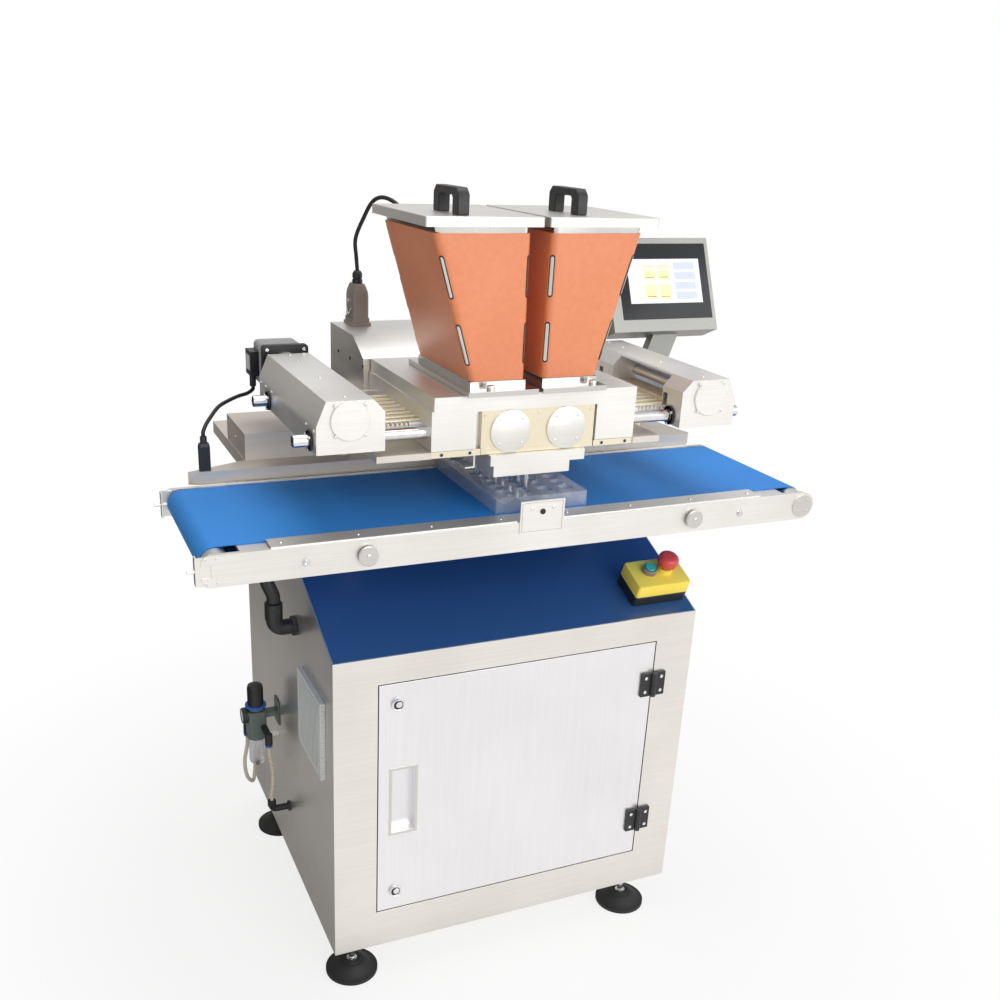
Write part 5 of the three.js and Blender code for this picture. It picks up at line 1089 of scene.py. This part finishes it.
# %% Valve drive cover and connector
sides = [screw((200, y, z), "x", 1, 3.0, 1.2) for y in (470, 560) for z in (1050, 1140)]
shown(
    "cover_screws",
    [*sides, screw((-416, 480, 966), "x", -1, 3, 1.4), screw((-330, 400, 966), "y", -1, 3, 1.4)], chrome
)
shown("end_plate_screws", [screw((-200, y, 1111.5), "x", -1, 3.4, 1.2) for y in (369, 448.5, 523)], black)
base = stepped((-174, -134), (520, 576), 3, ((0, 1158.4), (0, 1163), (2.5, 1164), (2.5, 1172)))
hood = stepped((-170, -138), (523, 573), 5, ((0, 1171.8), (0, 1214), (1, 1222), (4, 1232), (6, 1236)))
shown("connector_shell", [base, hood], hood_grey, "cable_connector")
gland = [(10, 1235.5), (10, 1243), (8.6, 1244), (8.6, 1246), (9.6, 1247), (9.6, 1254), (7, 1259), (5, 1260)]
shown("connector_gland", [spun(gland, (-154, 548, 0), "z", 28)], black, "cable_connector")
lever = smooth_path([(-171.5, 560, 1190), (-172.5, 548, 1178), (-171.5, 536, 1190)], 6)
shown(
    "connector_lever", [carried(lever, 1.4, 12), screw((-170, 548, 1204), "x", -1, 4, 3.5)], chrome,
    "cable_connector"
)

# %% [markdown]
# The hoppers wear orange silicone heating jackets. A jacket is a wall that follows the hopper's taper:
# rounded rectangles at rising heights, outside and inside, joined into one closed shell. A small wave
# keeps the rubber from looking like sheet metal. At its corners, bright strips that clamp it sit in
# slots, and black pieces around them are painted shade inside the slots.

# %% Heating jackets
SIDES = {
    "left": dict(top=(-195, -22.7), bottom=(-119, -20), lid=(-206, -6), grip=(-146, -126.5, 71, 176)),
    "right": dict(top=(14, 185), bottom=(11, 113.5), lid=(3.5, 202), grip=(70, 88, 90, 195)),
}
THROAT, RISE = 1145, 253
JACKET_FRONT, JACKET_BACK, CORNER = 60, 298, 12


def taper(shape, z):
    """Left and right edge of a hopper at a height: a straight line between its throat and its rim."""
    share = (z - THROAT) / RISE
    return [b + (t - b) * share for b, t in zip(shape["bottom"], shape["top"])]


def jacket_ring(shape, z, inward, wave):
    """A rounded rectangle at a height, moved inwards, with a low wave along its length."""
    left, right = taper(shape, z)
    y = (JACKET_FRONT + inward, JACKET_BACK - inward)
    ring = rounded((left + inward, right - inward), y, CORNER - inward, 10)
    closed = np.concatenate([ring, ring[:1]])
    step = np.linalg.norm(np.diff(closed, axis=0), axis=1)
    along = np.concatenate([[0], np.cumsum(step)])
    even = np.linspace(0, along[-1], 160, endpoint=False)
    ring = np.stack([np.interp(even, along, closed[:, k]) for k in (0, 1)], -1)
    middle = ring.mean(0)
    ring = middle + (ring - middle) * (1 - wave * (1 + np.sin(even / 31 + z / 37))[:, None])
    return np.c_[ring, np.full(len(ring), z)]


for name, shape in SIDES.items():
    levels = np.linspace(1145.6, 1375, 24)
    outer = [jacket_ring(shape, z, 0, 0.0012) for z in levels]
    inner = [jacket_ring(shape, z, 3, 0.0) for z in levels[::-1]]
    rings = np.array([*outer, *inner])
    shown(name + "_jacket_wrap", [skin(rings, True, True)], silicone, name + "_jacket", angle=60)


# %% Painted shade of the slots, and bright strips at the jackets' corners
def corner_slot(shape, side, low, high, half, lift, centre_y=JACKET_FRONT + CORNER, way=-1):
    """A stadium on a corner of a jacket. Across, it follows the corner's quarter circle, and its
    half width at a height is the half circle's at both ends and the full one between them."""
    height = low + (high - low) * (1 - np.cos(np.linspace(0, math.pi, 33))) / 2
    past_end = np.clip(np.maximum(low + half - height, height - high + half), 0, half)
    width = np.sqrt(half**2 - past_end**2)
    left, right = (np.array([taper(shape, z)[k] for z in height]) for k in (0, 1))
    centre = left + CORNER if side < 0 else right - CORNER
    faces = []
    for reach in (CORNER - 0.5, CORNER + lift):
        angle = math.pi / 4 + np.linspace(-1, 1, 9) * width[:, None] / CORNER
        x = centre[:, None] + side * reach * np.cos(angle)
        y = centre_y + way * reach * np.sin(angle)
        faces.append(np.stack([x, y, np.broadcast_to(height[:, None], x.shape)], -1))
    edges = [np.concatenate([face[:, 0], face[::-1, -1]]) for face in faces]
    return together(skin(faces[0]), skin(faces[1]), skin(edges, False, True))


ENDS = ((1276, 1342), (1171, 1237))
BACK_ENDS = ((1150, 1186), (1227, 1282), (1316, 1368))
places = [(side, low, high) for side in (-1, 1) for low, high in ENDS]
for name, shape in SIDES.items():
    # The black stadiums are painted shade inside the slots. They are wider than the steel strips laid on
    # them, and the three behind on the left jacket have no strip.
    shaded_slots = [corner_slot(shape, *place, 4.4, 0.4) for place in places]
    if name == "left":
        behind = (JACKET_BACK - CORNER, 1)
        shaded_slots += [corner_slot(shape, -1, low, high, 4.4, 0.4, *behind) for low, high in BACK_ENDS]
    shown(name + "_jacket_shaded_slots", shaded_slots, black, angle=60)
    tongues = [corner_slot(shape, side, low + 2.5, high - 2.5, 2.7, 0.8) for side, low, high in places]
    shown(name + "_jacket_tongues", tongues, mirror_steel, angle=60)
boss = [(9, 297), (9, 299), (8, 300), (8, 305.8), (5.5, 306.3)]
shown("jacket_boss", [spun(boss, (-95, 0, 1272), "y", 28)], black, "left_jacket")

# %% Bolts that hold the hoppers down
stand = [(6.5, 1136), (6.8, 1137), (6.8, 1141), (6.2, 1142), (2.6, 1142), (2.6, 1139.4)]
thumbs = [spun(stand, (x, 44, 0), "z", 24) for x in (-90, 97)]
shown("hopper_thumb_screws", thumbs, chrome)

# %% Lids and their handles
LID_Y, LID_SKIRT, GRIP_FOOT, GRIP_LEG = (51, 305), 1385, 1399.8, 25
LID_STEPS = ((1.7, 1398.3), (1.7, LID_SKIRT), (0, LID_SKIRT), (0, 1399.2), (0.8, 1400))


def grip_outline(front, back):
    """A bridge handle seen from the side, as (y, z): two legs, a flat top and sloped shoulders."""
    in_front, in_back = front + GRIP_LEG, back - GRIP_LEG
    under = [(in_front, 1424), (in_front + 4, 1428), (in_back - 4, 1428), (in_back, 1424)]
    over = [(back, 1430), (back - 10, 1440), (front + 10, 1440), (front, 1430)]
    feet = [(in_back, GRIP_FOOT), (back, GRIP_FOOT)]
    return [(front, GRIP_FOOT), (in_front, GRIP_FOOT), *under, *feet, *over]


for name, shape in SIDES.items():
    lid = name + "_lid"
    shown(lid + "_sheet", [stepped(shape["lid"], LID_Y, 3.2, LID_STEPS, 1)], lid_steel, lid)
    left, right, front, back = shape["grip"]
    grip = pushed(grip_outline(front, back), "x", (left, right))
    shown(lid + "_handle", [grip], black, lid, bevel=2.0, angle=50)
print("hoppers made")

# %% [markdown]
# The touch panel shows a plain page of its own: a pale ground with a white strip, four yellow tiles
# and a column of keys, with no words on it. Each layer lies a tenth of a millimetre before the last.

# %% Touch panel
GLASS, PAGE, FRONT = (0.35, 1.3), (0.18, 0.3), (0.06, 0.16)


def field(x, z, width, height, depths=FRONT):
    """A flat field of the screen from its lower left corner, between two depths before the panel."""
    corners = [(x, z), (x + width, z), (x + width, z + height), (x, z + height)]
    return pushed(corners, "y", depths)


def lit(name, code, strength):
    """A flat light of one colour, as a backlit field of a screen."""
    made, tree = blank(bpy.data.materials, name)
    colour = linear(code)
    glow = {"Emission Color": colour, "Emission Strength": strength}
    shader = node(tree, "BsdfPrincipled", None, {"Base Color": colour, "Roughness": 0.2, **glow})
    node(tree, "OutputMaterial", None, {"Surface": shader})
    made["slot"] = "black_plastic"
    return made


tiles = [(-40 + 34 * i, 66 + 40 * j) for i in range(2) for j in range(2)]
shown(
    "screen_glass", [field(-100, 25, 216, 157, GLASS)], dark_glass, body="touch_panel", place=on_screen,
    bevel=0.2
)
for piece, fields, look_name, code, strength in (
    ("screen_page", [field(-77, 58, 174, 92, PAGE)], "page_pale", "#D9DCEC", 0.35),
    ("screen_tiles", [field(x, z, 28, 32) for x, z in tiles], "tile_yellow", "#F1EBA4", 0.45),
    ("screen_values", [field(x + 3, z + 19, 22, 8) for x, z in tiles], "value_pale", "#FAFBF2", 0.5),
    ("screen_marks", [field(x + 3, z + 5, 22, 2.4) for x, z in tiles], "mark_grey", "#8C93A8", 0.2),
    ("screen_keys", [field(34, 66 + 20.5 * i, 50, 15) for i in range(4)], "key_pale", "#BFC6E2", 0.35),
    ("screen_strip", [field(-72, 62, 24, 84)], "strip_white", "#F4F5FA", 0.45),
):
    shown(piece, fields, lit(look_name, code, strength), body="touch_panel", place=on_screen)
print("touch panel made")
